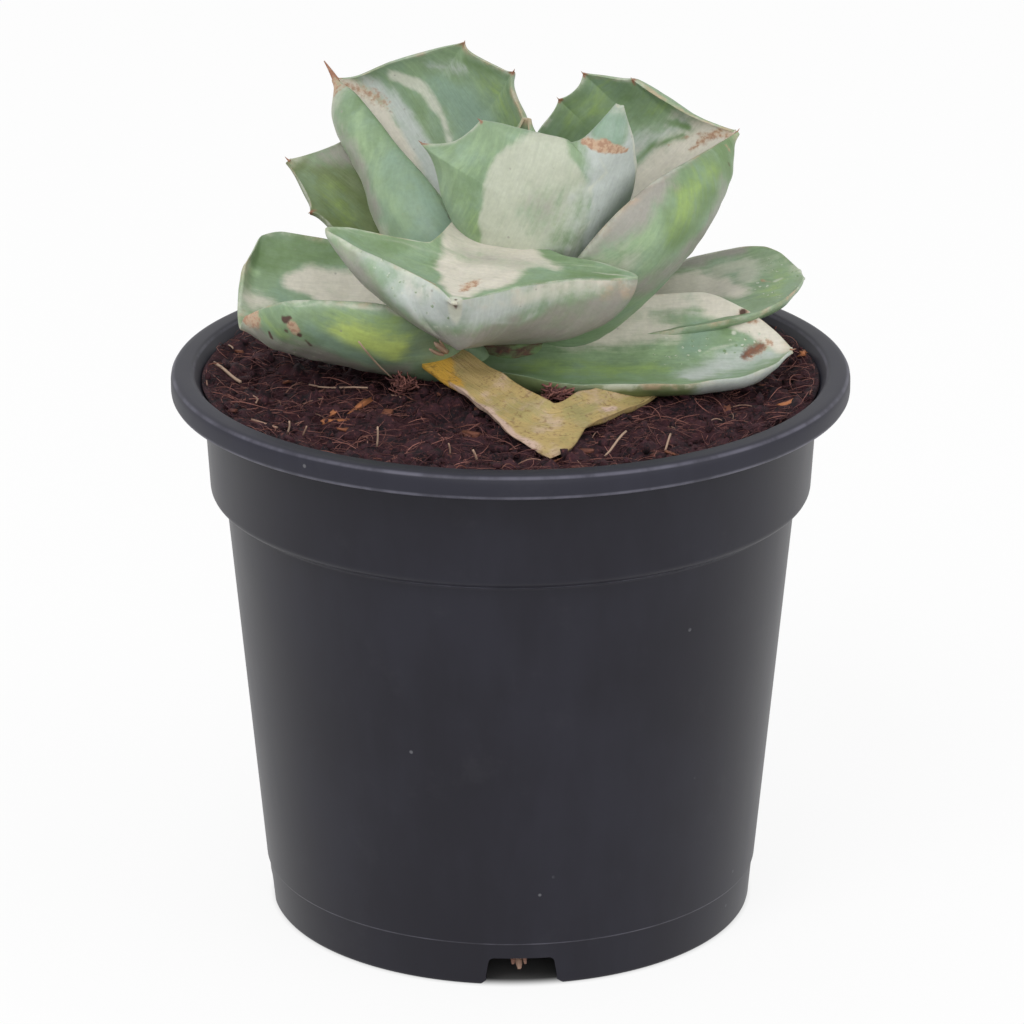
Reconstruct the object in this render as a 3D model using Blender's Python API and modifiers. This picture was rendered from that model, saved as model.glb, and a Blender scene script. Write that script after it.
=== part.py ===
"""A dying succulent rosette in its black nursery pot, one closed solid for each real piece.

Run it with: blender --background --python part.py
Lengths in the tables are millimetres and angles are degrees. The origin is the centre of the pot's foot,
+Z is up, and the leaf that points at the viewer points along -Y.
"""

import math

import bmesh
import bpy
import numpy as np

MM = 0.001

# ---------------------------------------------------------------- pot
POT_STEPS = 44
POT_HEIGHT = 98.0
WALL = 1.1
RIM_RADIUS = 58.5
RIM_DEPTH = 4.3
RIM_OPENING_RADIUS = 54.8
RIM_TOP_BEVEL = 1.3
RIM_LOWER_BEVEL = 0.7
COLLAR_TOP_RADIUS = 53.0
COLLAR_RADIUS = 52.0
COLLAR_BOTTOM = 76.6
CREASE_RADIUS = 49.4
CREASE_HEIGHT = 75.2
BAND_RADIUS = 43.3
BAND_HEIGHT = 8.2
BAND_STEP = 0.3
FOOT_RADIUS = 42.3
FOOT_WALL = 1.4
FLOOR_UNDERSIDE = 5.8
FLOOR_TOP = 7.6
OPENINGS = 4
OPENING_TURN = 2.5
NOTCH_TOP_WIDTH = 11.0
NOTCH_FOOT_WIDTH = 12.8
NOTCH_HEIGHT = 5.3
NOTCH_REACH = 8.0
DRAIN_HOLE_RADIUS = 4.2
DRAIN_HOLE_CIRCLE = 31.0
DRAIN_HOLE_STEPS = 20

# ---------------------------------------------------------------- soil and stem
GAP = 0.3
SOIL_CENTRE = 97.2
SOIL_EDGE = 94.4
SOIL_RADIUS = 50.6
SOIL_RINGS = 6
SOIL_LUMP = 0.7
SOIL_LUMP_FADE = 6.0
STEM_STEPS = 20
STEM_RADIUS = 7.0
STEM_TOP = 110.0
STEM_ROOT = 90.0

# ---------------------------------------------------------------- leaves
ROWS = 12
COLUMNS = 6
FINE_STEPS = 80
EDGE_THICKNESS = 0.7
TIP_THINNING = 0.55
TIP_STARTS = 0.85
TOOTH_SPREAD = 0.03
SWELL = 0.45
WELD = 0.001 * MM

# base: start of the centre line. heading: compass angle of the leaf, counterclockwise from +X. rise: slope at
# the base, to which curl is added by the tip, as sweep is to the heading. lean turns the leaf in its own
# plane, and roll turns it about its centre line. left and right: half width at fractions of the length, left
# as seen from above with the tip ahead. cup: how far each half bends up, left and right. teeth: fraction of
# the length and height of each marginal tooth. lopsided: how much thinner the flesh is at the right margin.
# The order is from the heart outwards: each leaf is cut back where it meets one that comes before it.
LEAVES = {
    "heart_leaf": dict(
        base=(1, 3, 106), heading=60, rise=84, length=34, cup=(100, 100), thick=3,
        left=((0, 5), (0.5, 9), (1, 0.5)), right=((0, 5), (0.5, 9), (1, 0.5))),
    "centre_leaf": dict(
        base=(2, -4, 107), heading=-78, rise=78, lean=20, length=43, cup=(50, 50), thick=4,
        left=((0, 6), (0.3, 10.9), (0.5, 11.3), (0.64, 11), (0.74, 9.3), (0.85, 6), (1, 0.5)),
        right=((0, 6), (0.17, 12.5), (0.27, 17.8), (0.39, 23), (0.5, 25), (0.58, 23), (0.66, 21), (0.7, 19),
               (0.735, 12), (0.77, 5), (0.83, 2.8), (1, 0.5)),
        right_teeth=((0.51, 4), (0.7, 2))),
    "left_tall_leaf": dict(
        base=(-4, 2, 104), heading=129, rise=39.5, roll=20, length=55, cup=(200, 85), thick=5,
        left=((0, 8), (0.2, 14), (0.35, 15.8), (0.48, 14.5), (0.63, 10), (0.75, 8), (0.88, 5), (1, 0.5)),
        right=((0, 6), (0.25, 21), (0.45, 28.5), (0.62, 29.5), (0.81, 23), (0.91, 12), (0.96, 4), (1, 0.5)),
        right_teeth=((0.61, 2.5), (0.8, 3))),
    "right_tall_leaf": dict(
        base=(6, 4, 103), heading=11, rise=45, roll=-35, length=47, cup=(72, 138), thick=5,
        left=((0, 7), (0.3, 21), (0.55, 26.5), (0.75, 26), (0.87, 19.5), (0.93, 9), (1, 0.5)),
        right=((0, 7), (0.3, 25), (0.5, 28), (0.65, 25), (0.74, 20), (0.86, 10.8), (1, 0.5)),
        left_teeth=((0.64, 1.2), (0.77, 2), (0.88, 2))),
    "front_leaf": dict(
        base=(-4, -4, 123), heading=-101, rise=-8, roll=4, length=28, cup=(2, 32), thick=19, lopsided=0.8,
        left=((0, 6), (0.2, 14), (0.3, 23), (0.42, 28), (0.5, 21), (0.58, 15), (0.7, 9.5), (0.85, 4.5),
              (1, 0.5)),
        right=((0, 6), (0.4, 8), (0.5, 14), (0.62, 22), (0.73, 25), (0.79, 20), (0.84, 9), (0.9, 4),
               (1, 0.5))),
    "left_back_leaf": dict(
        base=(-3, 5.5, 99.5), heading=149, rise=41, curl=-16, roll=28, length=50, cup=(20, 20), thick=4,
        left=((0, 6), (0.4, 8), (0.7, 6), (1, 0.5)), right=((0, 6), (0.5, 13), (0.82, 11), (1, 0.5)),
        left_teeth=((0.79, 2),), right_teeth=((0.9, 2.5),)),
    "back_leaf": dict(
        base=(-0.5, 5.5, 100), heading=98, rise=38, curl=-10, length=44, cup=(35, 35), thick=4,
        left=((0, 6), (0.5, 17), (1, 0.5)), right=((0, 6), (0.5, 17), (1, 0.5))),
    "right_rear_leaf": dict(
        base=(4, 5, 99.5), heading=52, rise=30, curl=-5, length=46, cup=(30, 30), thick=4,
        left=((0, 6), (0.5, 16), (1, 0.5)), right=((0, 6), (0.5, 16), (1, 0.5))),
    "right_back_leaf": dict(
        base=(4, 6.4, 100.5), heading=9, rise=11.5, roll=-10, length=48, cup=(20, 20), thick=4,
        left=((0, 4), (0.4, 6), (0.53, 9.4), (0.66, 11.6), (0.81, 11.2), (0.91, 9.8), (0.96, 7), (1, 1.5)),
        right=((0, 5), (0.4, 12), (0.75, 14), (0.87, 12), (0.95, 7), (1, 1.5))),
    "right_low_leaf": dict(
        base=(-5, -6.2, 102), heading=2, rise=0.5, curl=-1, roll=-28, length=53, cup=(45, 45), thick=4.5,
        left=((0, 6), (0.35, 10), (0.56, 10.6), (0.71, 11), (0.85, 8), (0.95, 3.7), (1, 0.5)),
        right=((0, 7), (0.35, 14), (0.63, 14.5), (0.81, 12), (0.93, 6.5), (1, 0.5))),
    "left_low_leaf": dict(
        base=(-5, 0, 99), heading=188, rise=9, curl=4, length=42, cup=(75, 75), thick=4.5,
        left=((0, 6), (0.3, 18), (0.52, 21.5), (0.68, 19.7), (0.85, 16.5), (0.95, 11), (1, 5)),
        right=((0, 6), (0.4, 18), (0.69, 22.7), (0.84, 22.7), (0.94, 21), (1, 14))),
    "dead_leaf": dict(
        base=(-14, -10, 104), heading=-52, sweep=104, kink=(0.42, 0.62), rise=-14, curl=18, roll=-18,
        length=63, cup=(12, 12), thick=1.4,
        left=((0, 2.5), (0.1, 3.4), (0.25, 4.4), (0.48, 4.6), (0.6, 4.6), (0.7, 6.2), (0.8, 5.8), (0.92, 3.4),
              (1, 1.2)),
        right=((0, 2), (0.1, 3.7), (0.2, 3), (0.3, 3.4), (0.42, 4.3), (0.48, 5.6), (0.53, 6), (0.565, 3.2),
               (0.6, 2.1), (0.7, 2), (0.85, 2.2), (1, 1)),
        right_teeth=((0.52, 6),)),
}

# Colour in linear light and roughness of each material.
PLASTIC = ((0.035, 0.033, 0.042), 0.42)
EARTH = ((0.045, 0.018, 0.012), 0.95)
FLESH = ((0.30, 0.40, 0.27), 0.6)
WITHERED = ((0.42, 0.30, 0.08), 0.8)
CORK = ((0.22, 0.15, 0.08), 0.85)


def clear_scene():
    for old in list(bpy.data.objects):
        bpy.data.objects.remove(old, do_unlink=True)


def new_material(name, look):
    colour, roughness = look
    material = bpy.data.materials.new(name)
    material.use_nodes = True
    shader = material.node_tree.nodes["Principled BSDF"]
    shader.inputs["Base Color"].default_value = (*colour, 1.0)
    shader.inputs["Roughness"].default_value = roughness
    shader.inputs["Metallic"].default_value = 0.0
    return material


def new_object(name, mesh, collection):
    obj = bpy.data.objects.new(name, mesh)
    collection.objects.link(obj)
    return obj


def evaluated_mesh(obj):
    """A new mesh of the object with its modifiers in it."""
    bpy.context.view_layer.update()
    return bpy.data.meshes.new_from_object(obj.evaluated_get(bpy.context.evaluated_depsgraph_get()))


def triangles_of(mesh):
    """Points and triangles of a mesh, with near points made one and flattened triangles left out."""
    mesh.calc_loop_triangles()
    points = np.array([vertex.co[:] for vertex in mesh.vertices])
    triangles = np.array([triangle.vertices[:] for triangle in mesh.loop_triangles])
    _, first, index = np.unique(np.round(points / WELD), axis=0, return_index=True, return_inverse=True)
    triangles = index.reshape(-1)[triangles]
    ends = np.sort(triangles, axis=1)
    whole = (ends[:, 0] != ends[:, 1]) & (ends[:, 1] != ends[:, 2])
    _, kind, count = np.unique(ends, axis=0, return_inverse=True, return_counts=True)
    alone = count[kind.reshape(-1)] == 1
    return points[first], triangles[whole & alone]


def largest_body(triangles):
    """The triangles of the body with the most of them. Two bodies that only touch along an edge are apart."""
    at_edge = {}
    for number, triangle in enumerate(triangles):
        for k in range(3):
            at_edge.setdefault(frozenset((triangle[k], triangle[k - 1])), []).append(number)
    near = {number: [] for number in range(len(triangles))}
    for pair in at_edge.values():
        if len(pair) == 2:
            near[pair[0]].append(pair[1])
            near[pair[1]].append(pair[0])
    bodies = []
    while near:
        body, front = [], [next(iter(near))]
        while front:
            number = front.pop()
            if number in near:
                body.append(number)
                front.extend(near.pop(number))
        bodies.append(body)
    return triangles[sorted(max(bodies, key=len))]


def bake(obj):
    """Keeps the object's modified shape as its own mesh: its largest closed body, without stray slivers."""
    old = evaluated_mesh(obj)
    points, triangles = triangles_of(old)
    triangles = largest_body(triangles)
    used, index = np.unique(triangles, return_inverse=True)
    mesh = bpy.data.meshes.new(obj.name)
    mesh.from_pydata(points[used].tolist(), [], index.reshape(-1, 3).tolist())
    obj.modifiers.clear()
    obj.data = mesh
    bpy.data.meshes.remove(old)


def turned(name, profile, steps, collection):
    """A closed solid turned from (radius, height) points, listed down the outside first."""
    mesh = bpy.data.meshes.new(name)
    points = [(radius * MM, 0.0, height * MM) for radius, height in profile]
    ring = [(i, (i + 1) % len(points)) for i in range(len(points))]
    off_axis = [(i, j) for i, j in ring if profile[i][0] + profile[j][0] > 0]
    mesh.from_pydata(points, off_axis, [])
    obj = new_object(name, mesh, collection)
    screw = obj.modifiers.new("turn", "SCREW")
    screw.steps = steps
    screw.render_steps = steps
    screw.use_merge_vertices = True
    screw.merge_threshold = 0.02 * MM
    return obj


def subtract(obj, cutter, solver="EXACT"):
    cut = obj.modifiers.new("cut " + cutter.name, "BOOLEAN")
    cut.operation = "DIFFERENCE"
    cut.solver = solver
    cut.object = cutter


def as_cutter(obj):
    obj.hide_render = True
    obj.display_type = "WIRE"
    return obj


def swollen(piece, cutters):
    """A copy of a piece, a little larger all round, to cut its neighbours back with."""
    copy = as_cutter(new_object(piece.name + "_swollen", piece.data.copy(), cutters))
    swell = copy.modifiers.new("swell", "DISPLACE")
    swell.mid_level = 0.0
    swell.strength = SWELL * MM
    bake(copy)
    return copy


def cut_back(piece, seats):
    """Takes from a piece the room that each seat needs. EXACT leaves open slivers where leaves graze."""
    for seat in seats:
        if box_touches(piece, seat):
            subtract(piece, seat, solver="MANIFOLD")
    bake(piece)


def box_touches(first, second):
    """Whether the boxes of two objects, each at the origin, overlap."""
    ends = [np.array([corner[:] for corner in obj.bound_box]) for obj in (first, second)]
    lows, highs = [e.min(0) for e in ends], [e.max(0) for e in ends]
    return bool((lows[0] < highs[1]).all() and (lows[1] < highs[0]).all())


# ---------------------------------------------------------------- pot


def body_radius(height):
    """Outer radius of the tapered body between the foot band and the crease under the collar."""
    share = (height - BAND_HEIGHT) / (CREASE_HEIGHT - BAND_HEIGHT)
    return BAND_RADIUS + (CREASE_RADIUS - BAND_RADIUS) * share


def pot_inside():
    """The inner wall from the floor up to the opening, where the soil lies against it."""
    return [
        (BAND_RADIUS - WALL, FLOOR_TOP),
        (CREASE_RADIUS - WALL, CREASE_HEIGHT + WALL),
        (COLLAR_RADIUS - WALL, COLLAR_BOTTOM + 0.5 * WALL),
        (COLLAR_TOP_RADIUS - WALL, POT_HEIGHT - RIM_DEPTH - 0.3 * WALL),
    ]


def pot_profile():
    rim_underside = POT_HEIGHT - RIM_DEPTH
    outside = [
        (RIM_OPENING_RADIUS, POT_HEIGHT),
        (RIM_RADIUS - RIM_TOP_BEVEL, POT_HEIGHT),
        (RIM_RADIUS, POT_HEIGHT - RIM_TOP_BEVEL),
        (RIM_RADIUS, rim_underside + RIM_LOWER_BEVEL),
        (RIM_RADIUS - RIM_LOWER_BEVEL, rim_underside),
        (COLLAR_TOP_RADIUS, rim_underside),
        (COLLAR_RADIUS, COLLAR_BOTTOM),
        (body_radius(CREASE_HEIGHT), CREASE_HEIGHT),
        (body_radius(BAND_HEIGHT), BAND_HEIGHT),
        (BAND_RADIUS - BAND_STEP, BAND_HEIGHT - BAND_STEP),
        (FOOT_RADIUS, 0.0),
    ]
    recess = [
        (FOOT_RADIUS - FOOT_WALL, 0.0),
        (FOOT_RADIUS - FOOT_WALL, FLOOR_UNDERSIDE),
        (0.0, FLOOR_UNDERSIDE),
        (0.0, FLOOR_TOP),
    ]
    return outside + recess + pot_inside()


def opening_angle(number):
    return math.radians(-90 + OPENING_TURN + number * 360 / OPENINGS)


def notch_cutter(number, cutters):
    """A wedge with slanted sides that opens one drain notch in the foot ring."""
    below = NOTCH_HEIGHT / 4
    width_below = NOTCH_FOOT_WIDTH + (NOTCH_FOOT_WIDTH - NOTCH_TOP_WIDTH) * below / NOTCH_HEIGHT
    bm = bmesh.new()
    bmesh.ops.create_cube(bm, size=1.0)
    for vertex in bm.verts:
        at_top = vertex.co.z > 0
        vertex.co.x = (vertex.co.x * NOTCH_REACH + FOOT_RADIUS) * MM
        vertex.co.y *= (NOTCH_TOP_WIDTH if at_top else width_below) * MM
        vertex.co.z = (NOTCH_HEIGHT if at_top else -below) * MM
    mesh = bpy.data.meshes.new("notch")
    bm.to_mesh(mesh)
    bm.free()
    cutter = as_cutter(new_object(f"notch_cutter_{number}", mesh, cutters))
    cutter.rotation_euler.z = opening_angle(number)
    return cutter


def drain_cutter(number, cutters):
    bm = bmesh.new()
    bmesh.ops.create_cone(bm, cap_ends=True, segments=DRAIN_HOLE_STEPS, radius1=DRAIN_HOLE_RADIUS * MM,
                          radius2=DRAIN_HOLE_RADIUS * MM, depth=4 * (FLOOR_TOP - FLOOR_UNDERSIDE) * MM)
    mesh = bpy.data.meshes.new("drain")
    bm.to_mesh(mesh)
    bm.free()
    cutter = as_cutter(new_object(f"drain_cutter_{number}", mesh, cutters))
    cutter.location = (
        DRAIN_HOLE_CIRCLE * math.cos(opening_angle(number)) * MM,
        DRAIN_HOLE_CIRCLE * math.sin(opening_angle(number)) * MM,
        (FLOOR_TOP + FLOOR_UNDERSIDE) / 2 * MM,
    )
    return cutter


def make_pot(parts, cutters):
    pot = turned("pot", pot_profile(), POT_STEPS, parts)
    for number in range(OPENINGS):
        subtract(pot, notch_cutter(number, cutters))
        subtract(pot, drain_cutter(number, cutters))
    bake(pot)
    return pot


# ---------------------------------------------------------------- soil and stem


def soil_lumps(x, y):
    """Unevenness of the soil, between about -1 and 1."""
    return (
        0.40 * math.sin(0.33 * x + 0.19 * y + 0.8)
        + 0.35 * math.sin(0.21 * x - 0.41 * y + 2.1)
        + 0.25 * math.sin(0.62 * x + 0.55 * y + 4.0)
    )


def make_soil(parts):
    """A plug that fills the pot up to GAP from its wall, with a low uneven dome on top."""
    dome = [
        (SOIL_RADIUS * share, SOIL_CENTRE + (SOIL_EDGE - SOIL_CENTRE) * share**2)
        for share in (ring / SOIL_RINGS for ring in range(SOIL_RINGS + 1))
    ]
    floor, crease, collar, top = [(radius - GAP, height + GAP) for radius, height in pot_inside()]
    side = [top, collar, crease, floor, (0.0, floor[1])]
    soil = turned("soil", dome + side, POT_STEPS, parts)
    bake(soil)
    for vertex in soil.data.vertices:
        x, y, z = (value / MM for value in vertex.co)
        inwards = top[0] - math.hypot(x, y)
        if z > top[1] and inwards > 0:
            vertex.co.z += SOIL_LUMP * soil_lumps(x, y) * min(1.0, inwards / SOIL_LUMP_FADE) * MM
    return soil


def make_stem(parts):
    profile = [
        (0.0, STEM_TOP),
        (0.37 * STEM_RADIUS, STEM_TOP - 0.5),
        (0.66 * STEM_RADIUS, STEM_TOP - 2.2),
        (0.83 * STEM_RADIUS, STEM_TOP - 5.0),
        (STEM_RADIUS, STEM_TOP - 10.0),
        (1.08 * STEM_RADIUS, STEM_ROOT + 6.0),
        (0.92 * STEM_RADIUS, STEM_ROOT + 3.0),
        (0.57 * STEM_RADIUS, STEM_ROOT + 0.8),
        (0.0, STEM_ROOT),
    ]
    stem = turned("stem", profile, STEM_STEPS, parts)
    bake(stem)
    return stem


# ---------------------------------------------------------------- leaves


def smooth_step(start, end, value):
    t = np.clip((value - start) / (end - start), 0, 1)
    return t * t * (3 - 2 * t)


def through_stations(stations, s):
    """A smooth curve through (fraction, value) stations that never overshoots them."""
    at, value = np.array(stations, float).T
    step = np.diff(at)
    rise = np.diff(value) / step
    slope = np.zeros(len(at))
    slope[0], slope[-1] = rise[0], rise[-1]
    for i in range(1, len(at) - 1):
        if rise[i - 1] * rise[i] > 0:
            slope[i] = 2 * rise[i - 1] * rise[i] / (rise[i - 1] + rise[i])
    i = np.clip(np.searchsorted(at, s, side="right") - 1, 0, len(step) - 1)
    t = (s - at[i]) / step[i]
    return (
        (2 * t**3 - 3 * t**2 + 1) * value[i] + (t**3 - 2 * t**2 + t) * step[i] * slope[i]
        + (3 * t**2 - 2 * t**3) * value[i + 1] + (t**3 - t**2) * step[i] * slope[i + 1]
    )


def turned_towards(first, second, angle):
    """Two perpendicular directions, turned in their plane so that the first moves towards the second."""
    return (
        first * math.cos(angle) + second * math.sin(angle),
        second * math.cos(angle) - first * math.sin(angle),
    )


def at_fractions(s, fine, values):
    return np.stack([np.interp(s, fine, values[:, k]) for k in range(3)], -1)


def leaf_frame(leaf, s):
    """The centre line at the fractions s, with the leaf's left and inner directions there."""
    fine = np.linspace(0, 1, FINE_STEPS + 1)
    turn = smooth_step(*leaf["kink"], fine) if "kink" in leaf else fine
    pitch = np.radians(leaf["rise"] + leaf.get("curl", 0) * fine)
    yaw = np.radians(leaf["heading"] + leaf.get("sweep", 0) * turn)
    lean, roll = math.radians(leaf.get("lean", 0)), math.radians(leaf.get("roll", 0))
    ahead = np.stack([np.cos(pitch) * np.cos(yaw), np.cos(pitch) * np.sin(yaw), np.sin(pitch)], -1)
    inner = np.stack([-np.sin(pitch) * np.cos(yaw), -np.sin(pitch) * np.sin(yaw), np.cos(pitch)], -1)
    left = np.cross(inner, ahead)
    inner, left = turned_towards(inner, left, roll)
    ahead, left = turned_towards(ahead, left, lean)
    steps = (ahead[1:] + ahead[:-1]) / 2 * leaf["length"] / FINE_STEPS
    centre = np.vstack([np.zeros(3), np.cumsum(steps, 0)]) + leaf["base"]
    return [at_fractions(s, fine, values) for values in (centre, left, inner)]


def half_width(leaf, side, s):
    width = through_stations(leaf[side], s)
    for tooth_at, height in leaf.get(side + "_teeth", ()):
        width = width + height * np.exp(-np.abs(s - tooth_at) / TOOTH_SPREAD)
    return width


def leaf_points(leaf, s, v):
    """Points of the inner face: s runs from base to tip, v from -1 at the right margin to 1 at the left."""
    centre, left, inner = leaf_frame(leaf, s)
    side = np.where(v >= 0, 1.0, -1.0)
    width = np.where(v >= 0, half_width(leaf, "left", s), half_width(leaf, "right", s))
    bend = np.radians(np.where(v >= 0, *leaf["cup"]))
    angle = bend * np.abs(v)
    across = side * np.sin(angle) / bend * width
    upward = (1 - np.cos(angle)) / bend * width
    return centre + left * across[:, None] + inner * upward[:, None]


def make_leaf(name, leaf, parts):
    """A leaf with its inner face on the formula and its flesh added outside it by Solidify."""
    teeth = [tooth[0] for side in ("left_teeth", "right_teeth") for tooth in leaf.get(side, ())]
    rows = np.union1d(np.linspace(0, 1, ROWS), teeth)
    bm = bmesh.new()
    bmesh.ops.create_grid(bm, x_segments=len(rows) - 1, y_segments=COLUMNS, size=1.0)
    grid = np.array([vertex.co[:] for vertex in bm.verts])
    s = rows[np.rint((grid[:, 0] + 1) / 2 * (len(rows) - 1)).astype(int)]
    v = grid[:, 1]
    for vertex, point in zip(bm.verts, leaf_points(leaf, s, v)):
        vertex.co = point * MM
    mesh = bpy.data.meshes.new(name)
    bm.to_mesh(mesh)
    bm.free()
    obj = new_object(name, mesh, parts)
    lengthwise = (1 - TIP_THINNING * s) * (1 - smooth_step(TIP_STARTS, 1.0, s))
    crosswise = np.sqrt(np.clip(1 - v**2, 0, 1)) * (1 + leaf.get("lopsided", 0) * np.minimum(v, 0))
    thickness = EDGE_THICKNESS + leaf["thick"] * lengthwise * crosswise
    group = obj.vertex_groups.new(name="thickness")
    for index, value in enumerate(thickness / thickness.max()):
        group.add([index], value, "REPLACE")
    solidify = obj.modifiers.new("flesh", "SOLIDIFY")
    solidify.thickness = thickness.max() * MM
    solidify.offset = -1.0
    solidify.vertex_group = group.name
    bake(obj)
    return obj


def make_plant(parts, cutters):
    """The stem and the leaves, each leaf cut back where it tucks in behind the stem or an inner leaf."""
    plant = [make_stem(parts)]
    seats = [swollen(plant[0], cutters)]
    for name, leaf in LEAVES.items():
        obj = make_leaf(name, leaf, parts)
        seat = swollen(obj, cutters)
        cut_back(obj, seats)
        plant.append(obj)
        seats.append(seat)
    return plant, seats


def main():
    clear_scene()
    parts = bpy.data.collections.new("dead_succulent")
    cutters = bpy.data.collections.new("cutters")
    for collection in (parts, cutters):
        bpy.context.scene.collection.children.link(collection)

    pot = make_pot(parts, cutters)
    soil = make_soil(parts)
    plant, seats = make_plant(parts, cutters)
    cut_back(soil, seats)

    for cutter in list(cutters.objects):
        bpy.data.objects.remove(cutter, do_unlink=True)
    bpy.data.collections.remove(cutters)

    looks = {"pot": PLASTIC, "soil": EARTH, "stem": CORK, "dead_leaf": WITHERED}
    for piece in (pot, soil, *plant):
        piece.data.materials.clear()
        piece.data.materials.append(new_material(piece.name, looks.get(piece.name, FLESH)))


main()
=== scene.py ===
"""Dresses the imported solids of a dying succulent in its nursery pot.

Sizes in the tables are millimetres and angles are degrees. +Z is up and the viewer stands at -Y.
"""

import math

import bmesh
import bpy
import numpy as np
from mathutils import Color, Matrix, Vector, noise


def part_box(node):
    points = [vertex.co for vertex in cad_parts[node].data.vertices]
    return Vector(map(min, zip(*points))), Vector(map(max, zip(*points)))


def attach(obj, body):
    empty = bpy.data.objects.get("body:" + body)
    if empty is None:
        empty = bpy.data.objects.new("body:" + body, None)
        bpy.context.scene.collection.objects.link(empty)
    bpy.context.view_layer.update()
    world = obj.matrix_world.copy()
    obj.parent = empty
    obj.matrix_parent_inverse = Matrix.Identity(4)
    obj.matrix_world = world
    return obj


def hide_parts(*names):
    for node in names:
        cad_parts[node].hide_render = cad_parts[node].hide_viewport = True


bl_info = {
    "name": "Dying Succulent",
    "version": (1, 0, 0),
    "blender": (4, 5, 0),
    "location": "3D View > Sidebar > Succulent",
    "description": "Builds a dying succulent in its nursery pot around the packed solids",
    "category": "Add Mesh",
}

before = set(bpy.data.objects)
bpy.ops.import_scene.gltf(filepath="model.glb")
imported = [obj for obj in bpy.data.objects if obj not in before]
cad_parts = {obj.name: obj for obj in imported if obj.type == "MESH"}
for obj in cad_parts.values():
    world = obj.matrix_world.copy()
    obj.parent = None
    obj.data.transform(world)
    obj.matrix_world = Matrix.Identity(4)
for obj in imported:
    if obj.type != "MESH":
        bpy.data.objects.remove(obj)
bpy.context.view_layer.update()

MM = 0.001
POT_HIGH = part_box("pot")[1]
ROOT = "root"

# ---------------------------------------------------------------- pot, soil and stem sizes
POT_HEIGHT = POT_HIGH.z / MM
RIM_RADIUS = POT_HIGH.x / MM
WALL = 1.1
RIM_DEPTH = 4.3
RIM_OPENING_RADIUS = 54.8
COLLAR_TOP_RADIUS = 53.0
COLLAR_RADIUS = 52.0
COLLAR_BOTTOM = 76.6
CREASE_RADIUS = 49.4
CREASE_HEIGHT = 75.2
BAND_RADIUS = 43.3
BAND_HEIGHT = 8.2
BAND_STEP = 0.3
FOOT_RADIUS = 42.3
FOOT_WALL = 1.4
FLOOR_UNDERSIDE = 5.8
FLOOR_TOP = 7.6
OPENINGS = 4
OPENING_TURN = 2.5
NOTCH_TOP_WIDTH = 11.0
NOTCH_FOOT_WIDTH = 12.8
NOTCH_HEIGHT = 5.3
NOTCH_REACH = 8.0
NOTCH_ROUNDING = 0.7
DRAIN_HOLE_RADIUS = 4.2
DRAIN_HOLE_CIRCLE = 31.0
FLARE_HEIGHT = 1.5
FLARE_WIDTH = 16.0
SHARP_ANGLE = math.radians(32)
# Height and half width of the painted highlight lines along the edges of the rim, collar and band.
EDGE_HIGHLIGHTS = ((97.55, 0.35), (94.15, 0.5), (75.5, 0.2), (8.1, 0.2))

# Heights of the soil at the centre and near the wall, and the bank that rises to the wall.
SOIL_CENTRE = 97.2
SOIL_EDGE = 94.4
SOIL_RADIUS = 50.6
SOIL_RIM = 53.2
SOIL_BANK = 2.0
SOIL_BANK_START = 45.0
SOIL_LUMP = 0.7
SOIL_LUMP_FADE = 6.0
SOIL_RINGS = 88
SOIL_STEPS = 220
SCATTER_RADIUS = 52.4
# Points along each fibre, straw and twig.
STATIONS = 6
STEM_RADIUS = 7.0
STEM_TOP = 110.0
STEM_ROOT = 90.0
STEM_SWELL = 1.06
STEM_FULLNESS = 3.2
STEM_RINGS = 36
STEM_STEPS = 72

# ---------------------------------------------------------------- leaves, as in the part's own source
# Steps of the centre line, thickness at the margins, and how the flesh thins towards the tip.
FINE_STEPS = 80
EDGE_THICKNESS = 0.7
TIP_THINNING = 0.55
TIP_STARTS = 0.85
TOOTH_SPREAD = 0.03
TIP_CAP = (30, 60, 90)

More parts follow.
